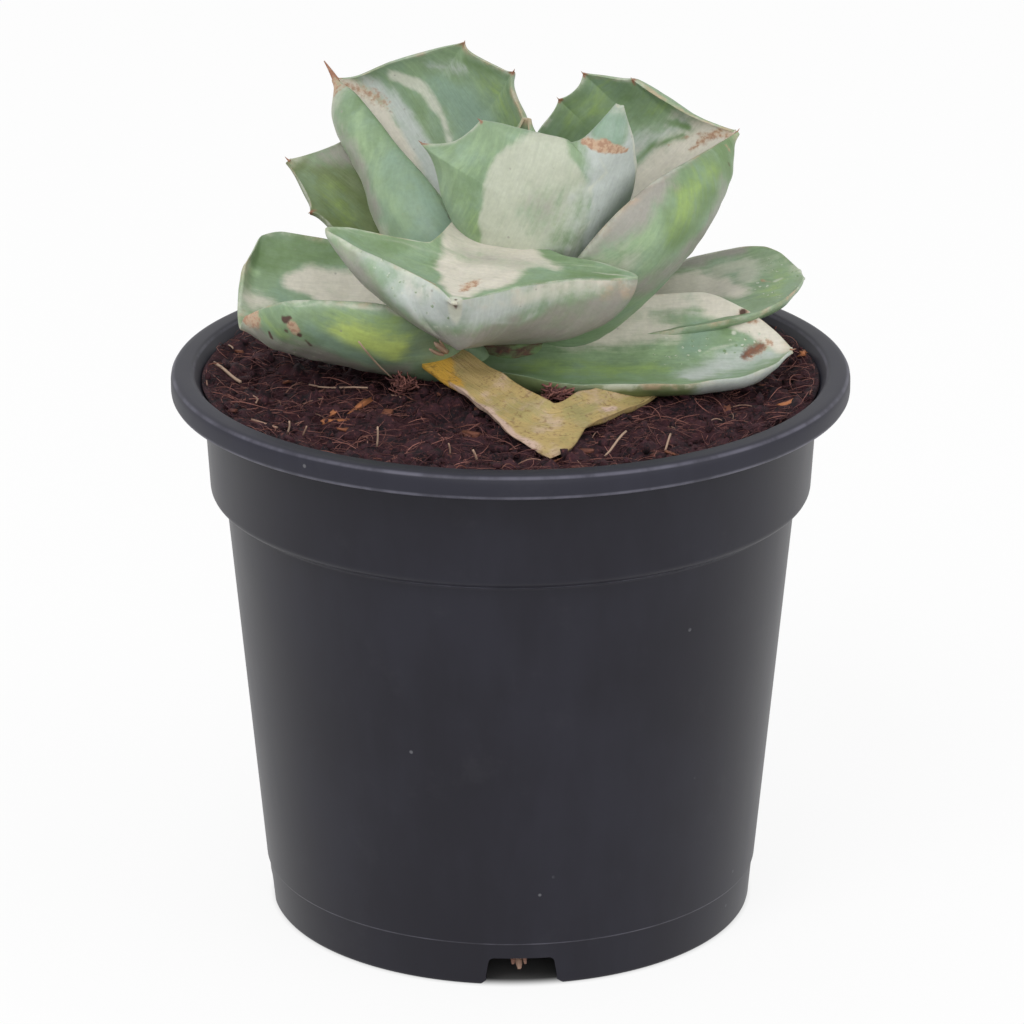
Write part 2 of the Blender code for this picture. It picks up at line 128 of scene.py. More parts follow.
LEAVES = {
    "heart_leaf": dict(
        base=(1, 3, 106), heading=60, rise=84, length=34, cup=(100, 100), thick=3,
        left=((0, 5), (0.5, 9), (1, 0.5)), right=((0, 5), (0.5, 9), (1, 0.5))),
    "centre_leaf": dict(
        base=(2, -4, 107), heading=-78, rise=78, lean=20, length=43, cup=(50, 50), thick=4,
        left=((0, 6), (0.3, 10.9), (0.5, 11.3), (0.64, 11), (0.74, 9.3), (0.85, 6), (1, 0.5)),
        right=((0, 6), (0.17, 12.5), (0.27, 17.8), (0.39, 23), (0.5, 25), (0.58, 23), (0.66, 21), (0.7, 19),
               (0.735, 12), (0.77, 5), (0.83, 2.8), (1, 0.5)),
        right_teeth=((0.51, 4), (0.7, 2))),
    "left_tall_leaf": dict(
        base=(-4, 2, 104), heading=129, rise=39.5, roll=20, length=55, cup=(200, 85), thick=5,
        left=((0, 8), (0.2, 14), (0.35, 15.8), (0.48, 14.5), (0.63, 10), (0.75, 8), (0.88, 5), (1, 0.5)),
        right=((0, 6), (0.25, 21), (0.45, 28.5), (0.62, 29.5), (0.81, 23), (0.91, 12), (0.96, 4), (1, 0.5)),
        right_teeth=((0.61, 2.5), (0.8, 3))),
    "right_tall_leaf": dict(
        base=(6, 4, 103), heading=11, rise=45, roll=-35, length=47, cup=(72, 138), thick=5,
        left=((0, 7), (0.3, 21), (0.55, 26.5), (0.75, 26), (0.87, 19.5), (0.93, 9), (1, 0.5)),
        right=((0, 7), (0.3, 25), (0.5, 28), (0.65, 25), (0.74, 20), (0.86, 10.8), (1, 0.5)),
        left_teeth=((0.64, 1.2), (0.77, 2), (0.88, 2))),
    "front_leaf": dict(
        base=(-4, -4, 123), heading=-101, rise=-8, roll=4, length=28, cup=(2, 32), thick=19, lopsided=0.8,
        left=((0, 6), (0.2, 14), (0.3, 23), (0.42, 28), (0.5, 21), (0.58, 15), (0.7, 9.5), (0.85, 4.5),
              (1, 0.5)),
        right=((0, 6), (0.4, 8), (0.5, 14), (0.62, 22), (0.73, 25), (0.79, 20), (0.84, 9), (0.9, 4),
               (1, 0.5))),
    "left_back_leaf": dict(
        base=(-3, 5.5, 99.5), heading=149, rise=41, curl=-16, roll=28, length=50, cup=(20, 20), thick=4,
        left=((0, 6), (0.4, 8), (0.7, 6), (1, 0.5)), right=((0, 6), (0.5, 13), (0.82, 11), (1, 0.5)),
        left_teeth=((0.79, 2),), right_teeth=((0.9, 2.5),)),
    "back_leaf": dict(
        base=(-0.5, 5.5, 100), heading=98, rise=38, curl=-10, length=44, cup=(35, 35), thick=4,
        left=((0, 6), (0.5, 17), (1, 0.5)), right=((0, 6), (0.5, 17), (1, 0.5))),
    "right_rear_leaf": dict(
        base=(4, 5, 99.5), heading=52, rise=30, curl=-5, length=46, cup=(30, 30), thick=4,
        left=((0, 6), (0.5, 16), (1, 0.5)), right=((0, 6), (0.5, 16), (1, 0.5))),
    "right_back_leaf": dict(
        base=(4, 6.4, 100.5), heading=9, rise=11.5, roll=-10, length=48, cup=(20, 20), thick=4,
        left=((0, 4), (0.4, 6), (0.53, 9.4), (0.66, 11.6), (0.81, 11.2), (0.91, 9.8), (0.96, 7), (1, 1.5)),
        right=((0, 5), (0.4, 12), (0.75, 14), (0.87, 12), (0.95, 7), (1, 1.5))),
    "right_low_leaf": dict(
        base=(-5, -6.2, 102), heading=2, rise=0.5, curl=-1, roll=-28, length=53, cup=(45, 45), thick=4.5,
        left=((0, 6), (0.35, 10), (0.56, 10.6), (0.71, 11), (0.85, 8), (0.95, 3.7), (1, 0.5)),
        right=((0, 7), (0.35, 14), (0.63, 14.5), (0.81, 12), (0.93, 6.5), (1, 0.5))),
    "left_low_leaf": dict(
        base=(-5, 0, 99), heading=188, rise=9, curl=4, length=42, cup=(75, 75), thick=4.5,
        left=((0, 6), (0.3, 18), (0.52, 21.5), (0.68, 19.7), (0.85, 16.5), (0.95, 11), (1, 5)),
        right=((0, 6), (0.4, 18), (0.69, 22.7), (0.84, 22.7), (0.94, 21), (1, 14))),
    # Its torn end is rounder than the solid's and reaches a little further back.
    "dead_leaf": dict(
        base=(-14.9, -8.8, 104.4), heading=-52, sweep=104, kink=(0.42, 0.62), rise=-14, curl=18, roll=-18,
        length=64.6, cup=(12, 12), thick=1.4,
        left=((0, 0.8), (0.03, 2.8), (0.08, 3.8), (0.25, 4.4), (0.48, 4.6), (0.6, 4.6), (0.7, 5.2), (0.8, 4.9),
              (0.92, 3.2), (1, 1.2)),
        right=((0, 0.8), (0.03, 2.6), (0.1, 3.7), (0.2, 3), (0.3, 3.4), (0.42, 4.3), (0.48, 5.6), (0.53, 6),
               (0.565, 3.2), (0.6, 2.1), (0.7, 2), (0.85, 2.2), (1, 1)),
        right_teeth=((0.52, 6),)),
}

# Marks on the skin: (finish, face, softness, strength, stroke). A stroke is a row of (fraction of the length,
# fraction of the half width, radius), or on the "front" face (x, z, radius) as seen from the viewer's side.
MARKS = {
    "heart_leaf": (
        ("bloom", "both", 6, 0.5, ((0.3, 0, 6), (0.8, 0, 4))),
    ),
    "centre_leaf": (
        ("fresh", "out", 5, 0.3, ((0.3, -0.9, 4), (0.6, -0.85, 4))),
        ("vivid", "out", 2.5, 0.45, ((0.3, -0.62, 1.5), (0.42, -0.66, 1.5))),
        ("wax", "out", 1.6, 1.0, ((0.95, 0.2, 4), (0.75, 0.35, 5.0), (0.55, 0.62, 5.5), (0.2, 0.6, 6.5))),
        ("bloom", "out", 0.5, 0.9, ((0.57, -0.31, 8.2), (0.45, -0.25, 8.0), (0.3, -0.2, 7.0))),
        ("wax", "out", 3.0, 0.5, ((0.62, 0.0, 2.5), (0.4, 0.0, 3))),
        ("dusk", "out", 3.5, 0.5, ((0.52, -0.24, 2.6),)),
        ("line", "out", 0.35, 0.55, ((0.79, -0.05, 0.15), (0.74, 0.16, 0.2), (0.66, 0.01, 0.2),
                                     (0.56, 0.2, 0.1), (0.48, 0.09, 0.2), (0.37, 0.06, 0.1))),
        ("blue", "out", 1.0, 0.8, ((0.9, 0.0, 2.6), (0.97, 0.2, 2.2))),
        ("line", "out", 0.6, 0.6, ((0.88, 0.75, 0.5), (0.98, 0.9, 0.4))),
        ("scar", "out", 0.5, 1.0, ((0.815, -0.8, 0.5), (0.835, -0.3, 0.9), (0.845, 0.0, 1.1), (0.84, 0.5, 0.4))),
        ("line", "out", 0.5, 0.8, ((0.25, 1.0, 0.5), (0.6, 1.0, 0.6), (0.95, 1.0, 0.5))),
        ("bloom", "in", 4, 0.6, ((0.3, 0.2, 6), (0.8, 0.1, 4))),
    ),
    "left_tall_leaf": (
        ("blush", "in", 1.2, 1.0, ((0.97, -0.1, 2.5), (0.8, -0.08, 4.2), (0.65, -0.06, 5.4), (0.4, -0.05, 6),
                                   (0.15, 0, 6))),
        ("wax", "in", 0.9, 0.9, ((0.935, -0.6, 1.0), (0.86, -0.38, 1.7), (0.72, -0.25, 1.9), (0.5, -0.22, 2.2))),
        ("deep", "in", 1.2, 0.5, ((0.89, -0.56, 1.0), (0.79, -0.4, 1.4), (0.64, -0.33, 1.6), (0.4, -0.3, 2))),
        ("line", "in", 0.8, 0.95, ((0.90, -0.70, 0.9), (0.83, -0.57, 0.9), (0.77, -0.51, 0.8), (0.70, -0.46, 0.75),
                                  (0.62, -0.40, 0.6))),
        ("blue", "in", 2.5, 0.9, ((0.8, -0.68, 2.0), (0.68, -0.60, 3.6), (0.5, -0.58, 4.5))),
        ("vivid", "in", 3.5, 0.55, ((0.68, -0.86, 2.0), (0.56, -0.84, 2.4), (0.5, -0.9, 2))),
        ("deep", "in", 1.2, 0.7, ((0.76, -0.93, 1.2), (0.66, -0.97, 1.2), (0.55, -0.97, 1.0))),
        ("wax", "in", 1.2, 0.8, ((0.845, -0.80, 0.6), (0.79, -0.80, 1.0), (0.75, -0.84, 0.5))),
        ("scar", "in", 1.6, 0.7, ((0.975, -0.3, 1.0), (0.93, -0.36, 1.4), (0.86, -0.29, 0.9), (0.80, -0.24, 0.3))),
        ("bloom", "out", 0.9, 1.0, ((0.93, 0.4, 1.4), (0.75, 0.33, 2.2), (0.58, 0.32, 2.6), (0.4, 0.32, 3.0),
                                    (0.2, 0.3, 3))),
        ("dusk", "out", 1.2, 0.7, ((0.85, 0.52, 0.8), (0.65, 0.48, 1.2), (0.45, 0.5, 1.5))),
        ("deep", "out", 1.5, 0.55, ((0.86, 0.85, 1.6), (0.78, 0.8, 1.4))),
        ("fresh", "out", 0.8, 0.8, ((0.80, 0.76, 0.5), (0.66, 0.66, 0.5), (0.56, 0.66, 0.8), (0.42, 0.66, 0.9),
                                    (0.3, 0.72, 1.2))),
        ("blue", "out", 2.0, 0.7, ((0.6, 0.84, 1.2), (0.42, 0.86, 2.2), (0.22, 0.85, 3.5))),
        # Painted shadow: a thin dark line along the margin of the flap, where it shades the inner face.
        ("pit", "out", 0.3, 0.6, ((0.6, 1.0, 0.05), (0.45, 1.0, 0.15), (0.2, 1.0, 0.2))),
        ("scar", "out", 1.2, 0.8, ((0.99, 0.0, 1.4), (0.93, 0.6, 0.6))),
    ),
    "right_tall_leaf": (
        ("deep", "in", 3.0, 0.45, ((0.95, 0.95, 4), (0.8, 0.9, 7), (0.5, 0.9, 8), (0.2, 0.9, 8))),
        ("vivid", "in", 2.5, 0.6, ((0.8, 0.93, 1.2), (0.72, 0.82, 1.4), (0.62, 0.9, 1.2))),
        ("vivid", "in", 2.5, 0.5, ((0.86, 0.72, 1.4), (0.92, 0.85, 1.0))),
        ("blush", "in", 0.9, 0.95, ((0.96, 0.30, 2.6), (0.85, 0.29, 4.8), (0.66, 0.24, 6.4), (0.35, 0.2, 7))),
        ("wax", "in", 1.5, 0.7, ((0.9, 0.55, 1.6), (0.7, 0.45, 2.0), (0.4, 0.4, 2.5))),
        ("deep", "in", 0.5, 0.9, ((0.66, 0.36, 0.35), (0.75, 0.37, 0.5), (0.86, 0.33, 0.3))),
        ("deep", "in", 0.4, 0.7, ((0.86, 0.5, 0.4), (0.9, 0.47, 0.5))),
        ("scar", "in", 0.9, 0.8, ((0.84, 0.18, 0.1), (0.90, 0.25, 0.4), (0.94, 0.38, 0.4), (0.97, 0.6, 0.3))),
        ("scar", "in", 0.8, 0.7, ((0.80, 0.31, 0.0), (0.90, 0.36, 0.2), (0.96, 0.3, 0.4), (0.99, 0.0, 0.5))),
        ("dusk", "out", 2.0, 1.0, ((0.82, -0.97, 1.8), (0.68, -0.96, 3.4), (0.5, -0.97, 4.5), (0.3, -0.97, 5))),
        ("deep", "out", 2.0, 0.95, ((0.95, -0.80, 1.5), (0.85, -0.76, 2.4), (0.72, -0.72, 3.4), (0.6, -0.72, 3.4))),
        ("vivid", "out", 1.8, 0.6, ((0.86, -0.78, 0.4), (0.76, -0.78, 1.0), (0.66, -0.75, 1.5), (0.55, -0.74, 0.8))),
        ("fresh", "out", 2.0, 0.85, ((0.56, -0.80, 1.4), (0.48, -0.79, 2.6), (0.34, -0.84, 3.5))),
        ("bloom", "out", 2.0, 0.65, ((0.44, -0.78, 1.6), (0.32, -0.82, 2.5))),
        ("dusk", "out", 1.2, 0.7, ((0.8, -0.5, 1.2), (0.66, -0.45, 2.4), (0.5, -0.52, 2.6), (0.4, -0.6, 2.6))),
        ("scar", "out", 0.4, 0.7, ((0.93, -0.74, 0.6),)),
        ("pit", "out", 0.3, 0.6, ((0.88, -0.62, 0.2),)),
    ),
    "front_leaf": (
        ("deep", "in", 2.0, 0.6, ((0.5, -0.9, 2.5), (0.66, -0.75, 3.2), (0.72, -0.9, 2.5))),
        ("blue", "in", 1.5, 0.6, ((0.78, -0.6, 1.5), (0.74, -0.85, 1.5))),
        ("blush", "in", 1.0, 0.9, ((0.1, 0, 8), (0.35, 0.1, 8), (0.55, 0.1, 7.2), (0.74, 0, 4.0), (0.86, 0, 2.5))),
        ("blush", "in", 1.2, 0.7, ((0.3, 0.35, 3.0), (0.38, 0.5, 1.5))),
        ("dusk", "in", 2.5, 0.35, ((0.35, -0.2, 3.0), (0.4, 0.3, 3.0))),
        ("deep", "in", 1.4, 0.6, ((0.45, 0.66, 1.8), (0.42, 0.85, 1.6))),
        ("line", "in", 0.6, 0.4, ((0.66, -0.98, 0.2), (0.5, -0.88, 0.3), (0.45, -0.55, 0.3))),
        ("line", "in", 0.5, 0.35, ((0.34, 0.4, 0.2), (0.33, 0.86, 0.3))),
        ("line", "in", 0.5, 0.5, ((0.40, 0.72, 0.1), (0.41, 0.86, 0.2), (0.43, 0.97, 0.2))),
        ("scar", "in", 1.0, 0.8, ((0.66, 0.2, 0.6), (0.74, 0.16, 1.3), (0.82, 0.08, 0.9))),
        # Painted shade: dusk over the whole outer face.
        ("dusk", "out", 3, 0.7, ((0, 0, 200),)),
        ("fresh", "front", 2.5, 0.75, ((-36, 134, 4.0), (-30, 131, 3.2), (-26, 127.5, 2.2))),
        ("deep", "front", 1.5, 0.5, ((-34, 131, 1.5), (-27, 127.5, 1.2))),
        ("wax", "front", 1.8, 0.95, ((-23.1, 125.1, 1.0), (-16.4, 120.2, 4.0), (-11.3, 117.2, 4.2),
                                     (-3.6, 117.9, 4.4), (6.7, 119.5, 3.8), (15.9, 120.8, 2.0))),
        ("blue", "front", 2.0, 0.35, ((-8.5, 114.5, 1.6), (-4.0, 118.5, 1.0), (-1.5, 121.5, 1.2))),
        ("blue", "front", 1.6, 0.7, ((2.5, 123.8, 1.0), (9, 122.8, 1.6), (12.5, 123.4, 1.5))),
        ("deep", "front", 1.2, 0.7, ((15, 124.6, 1.2), (21, 123.4, 1.8), (24.5, 123, 1.8))),
        ("blush", "front", 1.8, 0.7, ((1.5, 117.5, 1.2), (8.5, 119.0, 2.0), (15.5, 120.6, 2.2))),
        ("blush", "front", 2.0, 0.45, ((-19, 122.4, 1.6), (-14.5, 119.5, 1.6))),
        ("bloom", "front", 2.0, 0.45, ((-21, 124, 1.2), (-15, 124.0, 1.4))),
        # Painted shade along the lower edge of the outer face.
        ("dusk", "front", 2.0, 0.2, ((-13, 112.0, 1.2), (-4, 110.6, 1.6), (6, 111.0, 1.4))),
        ("wax", "front", 0.7, 0.6, ((-3, 113.8, 0.2), (1.5, 112.6, 0.3), (4.5, 114.4, 0.2))),
        ("scar", "front", 0.8, 0.9, ((-15.2, 125.4, 0.6), (-13.4, 124.2, 0.6))),
        ("pit", "front", 0.5, 0.7, ((-14.6, 124.7, 0.35), (-13.8, 124.1, 0.3))),
        ("scar", "front", 0.8, 0.7, ((-28.6, 130.8, 0.5), (-27, 129.6, 0.4))),
        ("line", "both", 0.5, 1.0, ((0.975, 0.1, 1.2),)),
        ("pit", "both", 0.3, 1.0, ((0.98, 0.1, 0.35),)),
        ("scar", "in", 0.9, 0.9, ((0.82, -0.85, 0.5), (0.86, -0.65, 0.6))),
        ("pit", "in", 0.4, 0.8, ((0.84, -0.75, 0.3),)),
        ("pit", "front", 0.5, 0.6, ((2.8, 124.6, 0.3),)),
        ("pit", "front", 0.4, 0.6, ((10.3, 125.3, 0.3),)),
        ("speckle", "front", 2.0, 0.8, ((-10, 114, 2.0), (-24, 126, 1.5))),
    ),
    "left_back_leaf": (
        ("olive", "both", 1, 1.0, ((0, 0, 200),)),
        ("vivid", "in", 3.0, 0.4, ((0.84, 0.0, 2.5), (0.7, 0.3, 3))),
        ("dusk", "in", 2.0, 0.7, ((0.93, -0.8, 1.6), (0.8, -0.9, 2.5), (0.6, -0.9, 3))),
        ("blue", "in", 1.6, 0.3, ((0.93, 0.6, 1.2), (0.78, 0.85, 1.2))),
    ),
    "back_leaf": (
        ("deep", "both", 5, 0.6, ((0.3, 0, 10), (0.9, 0, 5))),
        ("bloom", "both", 3, 0.8, ((0.35, 0.3, 3), (0.8, 0.1, 2))),
        ("bloom", "out", 5, 0.8, ((0.3, 0, 8), (0.6, 0, 6))),
        ("vivid", "both", 4, 0.5, ((0.5, -0.6, 4),)),
        ("scar", "both", 1, 0.9, ((0.98, 0, 1.5), (0.9, 0.4, 0.8))),
    ),
    "right_rear_leaf": (
        ("deep", "both", 5, 0.6, ((0.3, 0, 10), (0.9, 0, 5))),
        ("blush", "both", 3, 0.8, ((0.35, -0.3, 4), (0.8, -0.1, 2.5))),
        ("bloom", "out", 5, 0.8, ((0.3, 0, 8), (0.6, 0, 6))),
        ("vivid", "both", 4, 0.5, ((0.6, 0.6, 4),)),
        ("scar", "both", 1, 0.9, ((0.98, 0, 1.5), (0.86, -0.5, 1.0))),
    ),
    "right_back_leaf": (
        ("deep", "in", 2.5, 0.4, ((1.0, 0.3, 5), (0.88, 0.2, 5), (0.84, -0.5, 4))),
        ("bloom", "in", 2.5, 0.4, ((0.92, 0.6, 3), (0.84, 0.3, 3))),
        ("vivid", "in", 2.0, 0.45, ((0.95, 0.2, 2.0), (0.86, -0.3, 2.5), (0.88, -0.7, 1.5))),
        ("speckle", "in", 2.0, 1.0, ((0.97, 0.3, 5), (0.88, -0.4, 4.5))),
        ("dusk", "in", 1.5, 0.85, ((0.55, 1.0, 1.6), (0.7, 1.0, 2.4), (0.82, 0.95, 1.8))),
        ("blush", "in", 1.4, 0.95, ((0.45, 0.4, 4.0), (0.6, 0.42, 4.5), (0.70, 0.2, 3.5), (0.76, -0.1, 2.0))),
        ("bloom", "in", 1.5, 1.0, ((0.74, 0.62, 1.8), (0.84, 0.6, 1.5), (0.80, 0.2, 1.5))),
        ("scar", "in", 0.4, 0.7, ((0.86, 0.05, 0.5), (0.9, -0.1, 0.3))),
        ("line", "in", 0.5, 0.7, ((0.9, -0.05, 0.6), (0.93, 0.0, 0.4))),
        ("bloom", "out", 4, 0.8, ((0.3, 0, 8), (0.8, 0, 5))),
    ),
    "right_low_leaf": (
        ("blush", "in", 2.5, 0.9, ((0.32, 0.3, 3.6), (0.48, 0.35, 4.2), (0.62, 0.4, 2.8))),
        ("deep", "in", 2.0, 0.6, ((0.62, 0.55, 1.2), (0.75, 0.55, 1.8), (0.8, 0.5, 1.4))),
        ("fresh", "in", 2.0, 0.6, ((0.3, -0.1, 2.0), (0.5, -0.05, 2.5), (0.62, 0.0, 1.8))),
        ("vivid", "in", 2.0, 0.6, ((0.15, -0.5, 3.0), (0.4, -0.42, 2.6), (0.58, -0.36, 1.8))),
        ("deep", "in", 2.0, 0.6, ((0.1, -0.7, 2.5), (0.4, -0.75, 2.5), (0.6, -0.7, 2.2))),
        ("blue", "in", 1.8, 0.7, ((0.70, 0.35, 2.0), (0.68, 0.05, 2.0))),
        ("wax", "in", 2.0, 0.9, ((0.66, -0.6, 2.0), (0.76, -0.4, 3.4), (0.88, -0.25, 2.8), (0.97, 0.0, 1.0))),
        ("blue", "in", 2.0, 0.5, ((0.78, -0.6, 1.6), (0.9, -0.4, 1.6))),
        ("line", "in", 0.5, 0.5, ((0.66, -0.20, 0.1), (0.75, 0.02, 0.2), (0.84, 0.2, 0.1))),
        ("blush", "in", 0.9, 1.0, ((0.3, 1.0, 1.8), (0.5, 1.0, 2.6), (0.68, 1.0, 3.2), (0.8, 0.95, 3.2),
                                   (0.9, 0.75, 2.6), (0.97, 0.4, 1.8))),
        ("wax", "in", 1.4, 0.45, ((0.68, 0.95, 1.2), (0.70, 0.7, 1.4))),
        ("scar", "in", 1.2, 0.8, ((0.865, -0.2, 0.8), (0.90, 0.05, 1.2), (0.93, 0.3, 1.0))),
        ("rust", "in", 0.8, 0.5, ((0.85, -0.2, 0.8), (0.88, 0.0, 1.5), (0.905, 0.16, 1.3))),
        ("pit", "in", 0.7, 0.85, ((0.85, -0.14, 0.8), (0.88, 0.0, 1.2), (0.905, 0.14, 0.9))),
        ("pit", "in", 0.35, 1.0, ((0.85, 0.9, 0.6),)),
        ("scar", "in", 0.6, 0.7, ((0.85, 0.86, 1.1), (0.89, 0.8, 0.8))),
        ("line", "in", 0.3, 0.9, ((0.60, 0.25, 0.4),)),
        ("line", "in", 0.3, 0.9, ((0.82, 0.4, 0.45),)),
        ("speckle", "in", 2.0, 0.9, ((0.9, 0.4, 2.5), (0.6, -0.1, 2.5))),
        ("blush", "out", 4, 0.6, ((0.3, -0.3, 5), (0.8, -0.3, 4))),
        ("olive", "out", 1.5, 0.9, ((0.0, -0.95, 5), (0.3, -0.95, 5), (0.62, -0.98, 4))),
        ("wax", "out", 2.0, 0.9, ((0.74, -0.95, 3), (0.86, -0.95, 3), (0.97, -0.8, 2))),
    ),
    "left_low_leaf": (
        ("deep", "in", 1.8, 0.65, ((0.98, -0.9, 3.0), (0.85, -0.85, 3.6), (0.7, -0.92, 3.2), (0.55, -0.95, 3))),
        ("blush", "in", 0.9, 0.9, ((0.79, -0.60, 1.6), (0.70, -0.64, 3.0), (0.55, -0.63, 4.4), (0.3, -0.6, 5))),
        ("blush", "in", 1.5, 0.75, ((0.95, -0.42, 2.2), (0.88, -0.4, 1.5))),
        ("fresh", "in", 0.7, 1.0, ((0.99, -0.92, 0.5), (0.975, -0.8, 0.9), (0.945, -0.68, 0.7))),
        ("blue", "in", 1.5, 0.6, ((0.86, -0.5, 1.5), (0.75, -0.35, 2.5))),
        ("dusk", "out", 2.0, 0.8, ((0.95, 0.4, 2.0), (0.8, 0.5, 2.2), (0.65, 0.45, 2.6), (0.4, 0.4, 3.0))),
        # Painted highlight: the vivid and lime marks here make the lower face bright yellow-green.
        ("vivid", "out", 2.2, 0.9, ((0.74, 0.78, 1.4), (0.62, 0.76, 3.2), (0.46, 0.76, 3.4))),
        ("lime", "out", 2.0, 1.0, ((0.68, 0.76, 1.2), (0.58, 0.74, 2.4), (0.44, 0.70, 2.2))),
        ("bloom", "out", 2.0, 0.4, ((0.8, 0.42, 1.2), (0.65, 0.36, 1.8), (0.45, 0.3, 2.2))),
        ("blue", "out", 1.8, 0.7, ((0.78, 0.78, 1.2), (0.66, 0.62, 1.6), (0.5, 0.5, 1.6))),
        ("dusk", "out", 1.8, 0.75, ((0.95, 0.3, 2.5), (0.82, 0.3, 2.6), (0.65, 0.3, 3.0), (0.5, 0.25, 3.0))),
        ("blush", "out", 1.2, 0.6, ((0.96, 0.42, 1.0), (0.86, 0.12, 1.2), (0.7, 0.08, 1.0))),
        ("vivid", "out", 1.5, 0.5, ((0.93, 0.75, 1.2), (0.85, 0.62, 1.2))),
        ("scar", "out", 0.6, 1.0, ((0.835, 0.775, 1.1), (0.82, 0.72, 0.9))),
        ("pit", "out", 0.3, 1.0, ((0.865, 0.82, 0.5), (0.85, 0.86, 0.3))),
        ("pit", "out", 0.3, 1.0, ((0.80, 0.68, 0.45),)),
        ("pit", "out", 0.3, 0.9, ((0.85, 0.70, 0.35),)),
        ("pit", "out", 0.3, 1.0, ((0.905, 0.58, 0.4), (0.895, 0.52, 0.5))),
        ("pit", "out", 0.3, 0.7, ((0.77, 0.62, 0.3), (0.74, 0.55, 0.2))),
        ("scar", "both", 0.9, 0.9, ((0.995, 0.9, 1.0), (0.97, 0.88, 1.3), (0.975, 0.72, 0.9))),
        ("speckle", "out", 2.0, 0.8, ((0.8, 0.4, 2.5), (0.6, 0.3, 3.0))),
        ("line", "both", 0.45, 0.5, ((0.9, 1.0, 0.1), (0.75, 1.0, 0.3), (0.5, 1.0, 0.3), (0.3, 1.0, 0.3))),
    ),
    "dead_leaf": (
        ("orange", "both", 2.0, 1.0, ((0.0, -0.2, 3.8), (0.12, -0.6, 2.6), (0.2, -0.8, 1.4))),
        ("olive", "both", 3.0, 0.5, ((0.35, 0.3, 3.0), (0.48, 0.0, 4.0), (0.6, 0.3, 2.6))),
        ("olive", "both", 2.0, 0.7, ((0.62, 0.3, 2.2), (0.70, 0.2, 1.6))),
        ("pale", "both", 0.8, 1.0, ((0.18, -1.0, 0.3), (0.3, -1.0, 0.6), (0.42, -1.0, 0.8), (0.5, -1.0, 0.6))),
        ("pale", "both", 1.8, 0.45, ((0.53, -0.3, 1.6), (0.52, 0.4, 1.4))),
        ("pale", "both", 1.0, 0.9, ((0.72, 0.0, 0.6), (0.75, -0.2, 0.5))),
        ("orange", "both", 1.2, 0.5, ((0.71, 0.1, 0.5), (0.76, -0.2, 0.4))),
        ("stain", "both", 0.8, 0.5, ((0.02, -0.2, 0.4), (0.08, 0.3, 0.6), (0.18, 0.6, 0.4))),
        ("stain", "both", 1.0, 0.5, ((0.52, 0.9, 0.6), (0.56, 0.6, 0.4))),
        ("stain", "both", 0.6, 0.5, ((0.99, 0, 0.6),)),
    ),
}
# Finishes that hide each other, and all the finishes of the two kinds of skin.
COVERS = ("olive", "deep", "fresh", "vivid", "lime", "blue", "bloom", "wax", "blush", "dusk")
SKIN_FINISHES = (*COVERS, "line", "scar", "pit", "rust", "speckle")
DEAD_FINISHES = ("orange", "olive", "pale", "stain")
BLENDING = 1.5
# Leaves with streaks that run across them, and hidden leaves that need fewer faces.
CROSS_GRAINED = ("front_leaf",)
HIDDEN_LEAVES = ("heart_leaf", "back_leaf", "right_rear_leaf")


# ---------------------------------------------------------------- shape helpers


def smooth_step(start, end, value):
    t = np.clip((value - start) / (end - start), 0, 1)
    return t * t * (3 - 2 * t)


def lattice_noise(points, size, seed):
    """Smooth noise, about -0.7 to 0.7, at points given in millimetres, with lumps of about the given size."""
    shift = Vector((7.3 * seed, 3.1 * seed, 5.7 * seed))
    return np.array([noise.noise(Vector(point) / size + shift) for point in points])


def rounded(profile):
    """Turns (radius, height, fillet) corners into plain points, with an arc of four steps at each fillet."""
    points = []
    for i, (radius, height, fillet) in enumerate(profile):
        corner = Vector((radius, height))
        before, after = profile[i - 1], profile[(i + 1) % len(profile)]
        if not fillet:
            points.append(corner)
            continue
        start = corner + (Vector(before[:2]) - corner).normalized() * fillet
        end = corner + (Vector(after[:2]) - corner).normalized() * fillet
        for t in (0.0, 0.25, 0.5, 0.75, 1.0):
            points.append(start.lerp(corner, t).lerp(corner.lerp(end, t), t))
    return points


def turned(profile, steps):
    """A bmesh turned once round the Z axis from (radius, height) points that make a closed outline."""
    bm = bmesh.new()
    verts = [bm.verts.new((point[0] * MM, 0.0, point[1] * MM)) for point in profile]
    edges = []
    for first, second in zip(verts, verts[1:] + verts[:1]):
        if first.co.x + second.co.x > 0:
            edges.append(bm.edges.new((first, second)))
    bmesh.ops.spin(bm, geom=verts + edges, cent=(0, 0, 0), axis=(0, 0, 1), angle=2 * math.pi, steps=steps,
                   use_merge=True)
    bmesh.ops.remove_doubles(bm, verts=bm.verts, dist=0.005 * MM)
    bmesh.ops.recalc_face_normals(bm, faces=bm.faces)
    return bm


def mesh_from(bm, name):
    mesh = bpy.data.meshes.new(name)
    bm.to_mesh(mesh)
    bm.free()
    return mesh


def point_vectors(mesh, kind):
    flat = np.empty(len(mesh.vertices) * 3)
    mesh.vertices.foreach_get(kind, flat)
    return flat.reshape(-1, 3)


def coordinates(mesh):
    """The points of a mesh in millimetres."""
    return point_vectors(mesh, "co") / MM


def move_to(mesh, points):
    mesh.vertices.foreach_set("co", (points * MM).ravel())
    mesh.update()


def add_value(mesh, name, values):
    """Stores one number, or one vector, for each point of the mesh."""
    if values.ndim == 1:
        mesh.attributes.new(name, "FLOAT", "POINT").data.foreach_set("value", values.astype(np.float32))
    else:
        field = mesh.attributes.new(name, "FLOAT_VECTOR", "POINT").data
        field.foreach_set("vector", values.astype(np.float32).ravel())


def add_object(name, data):
    added = bpy.data.objects.new(name, data)
    bpy.context.scene.collection.objects.link(added)
    return added


def add_piece(name, mesh, material, replaces=()):
    """Puts a finished mesh in the scene as a piece that rides with the pot."""
    piece = add_object(name, mesh)
    mesh.materials.clear()
    mesh.materials.append(material)
    mesh.shade_smooth()
    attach(piece, ROOT)
    if replaces:
        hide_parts(*replaces)


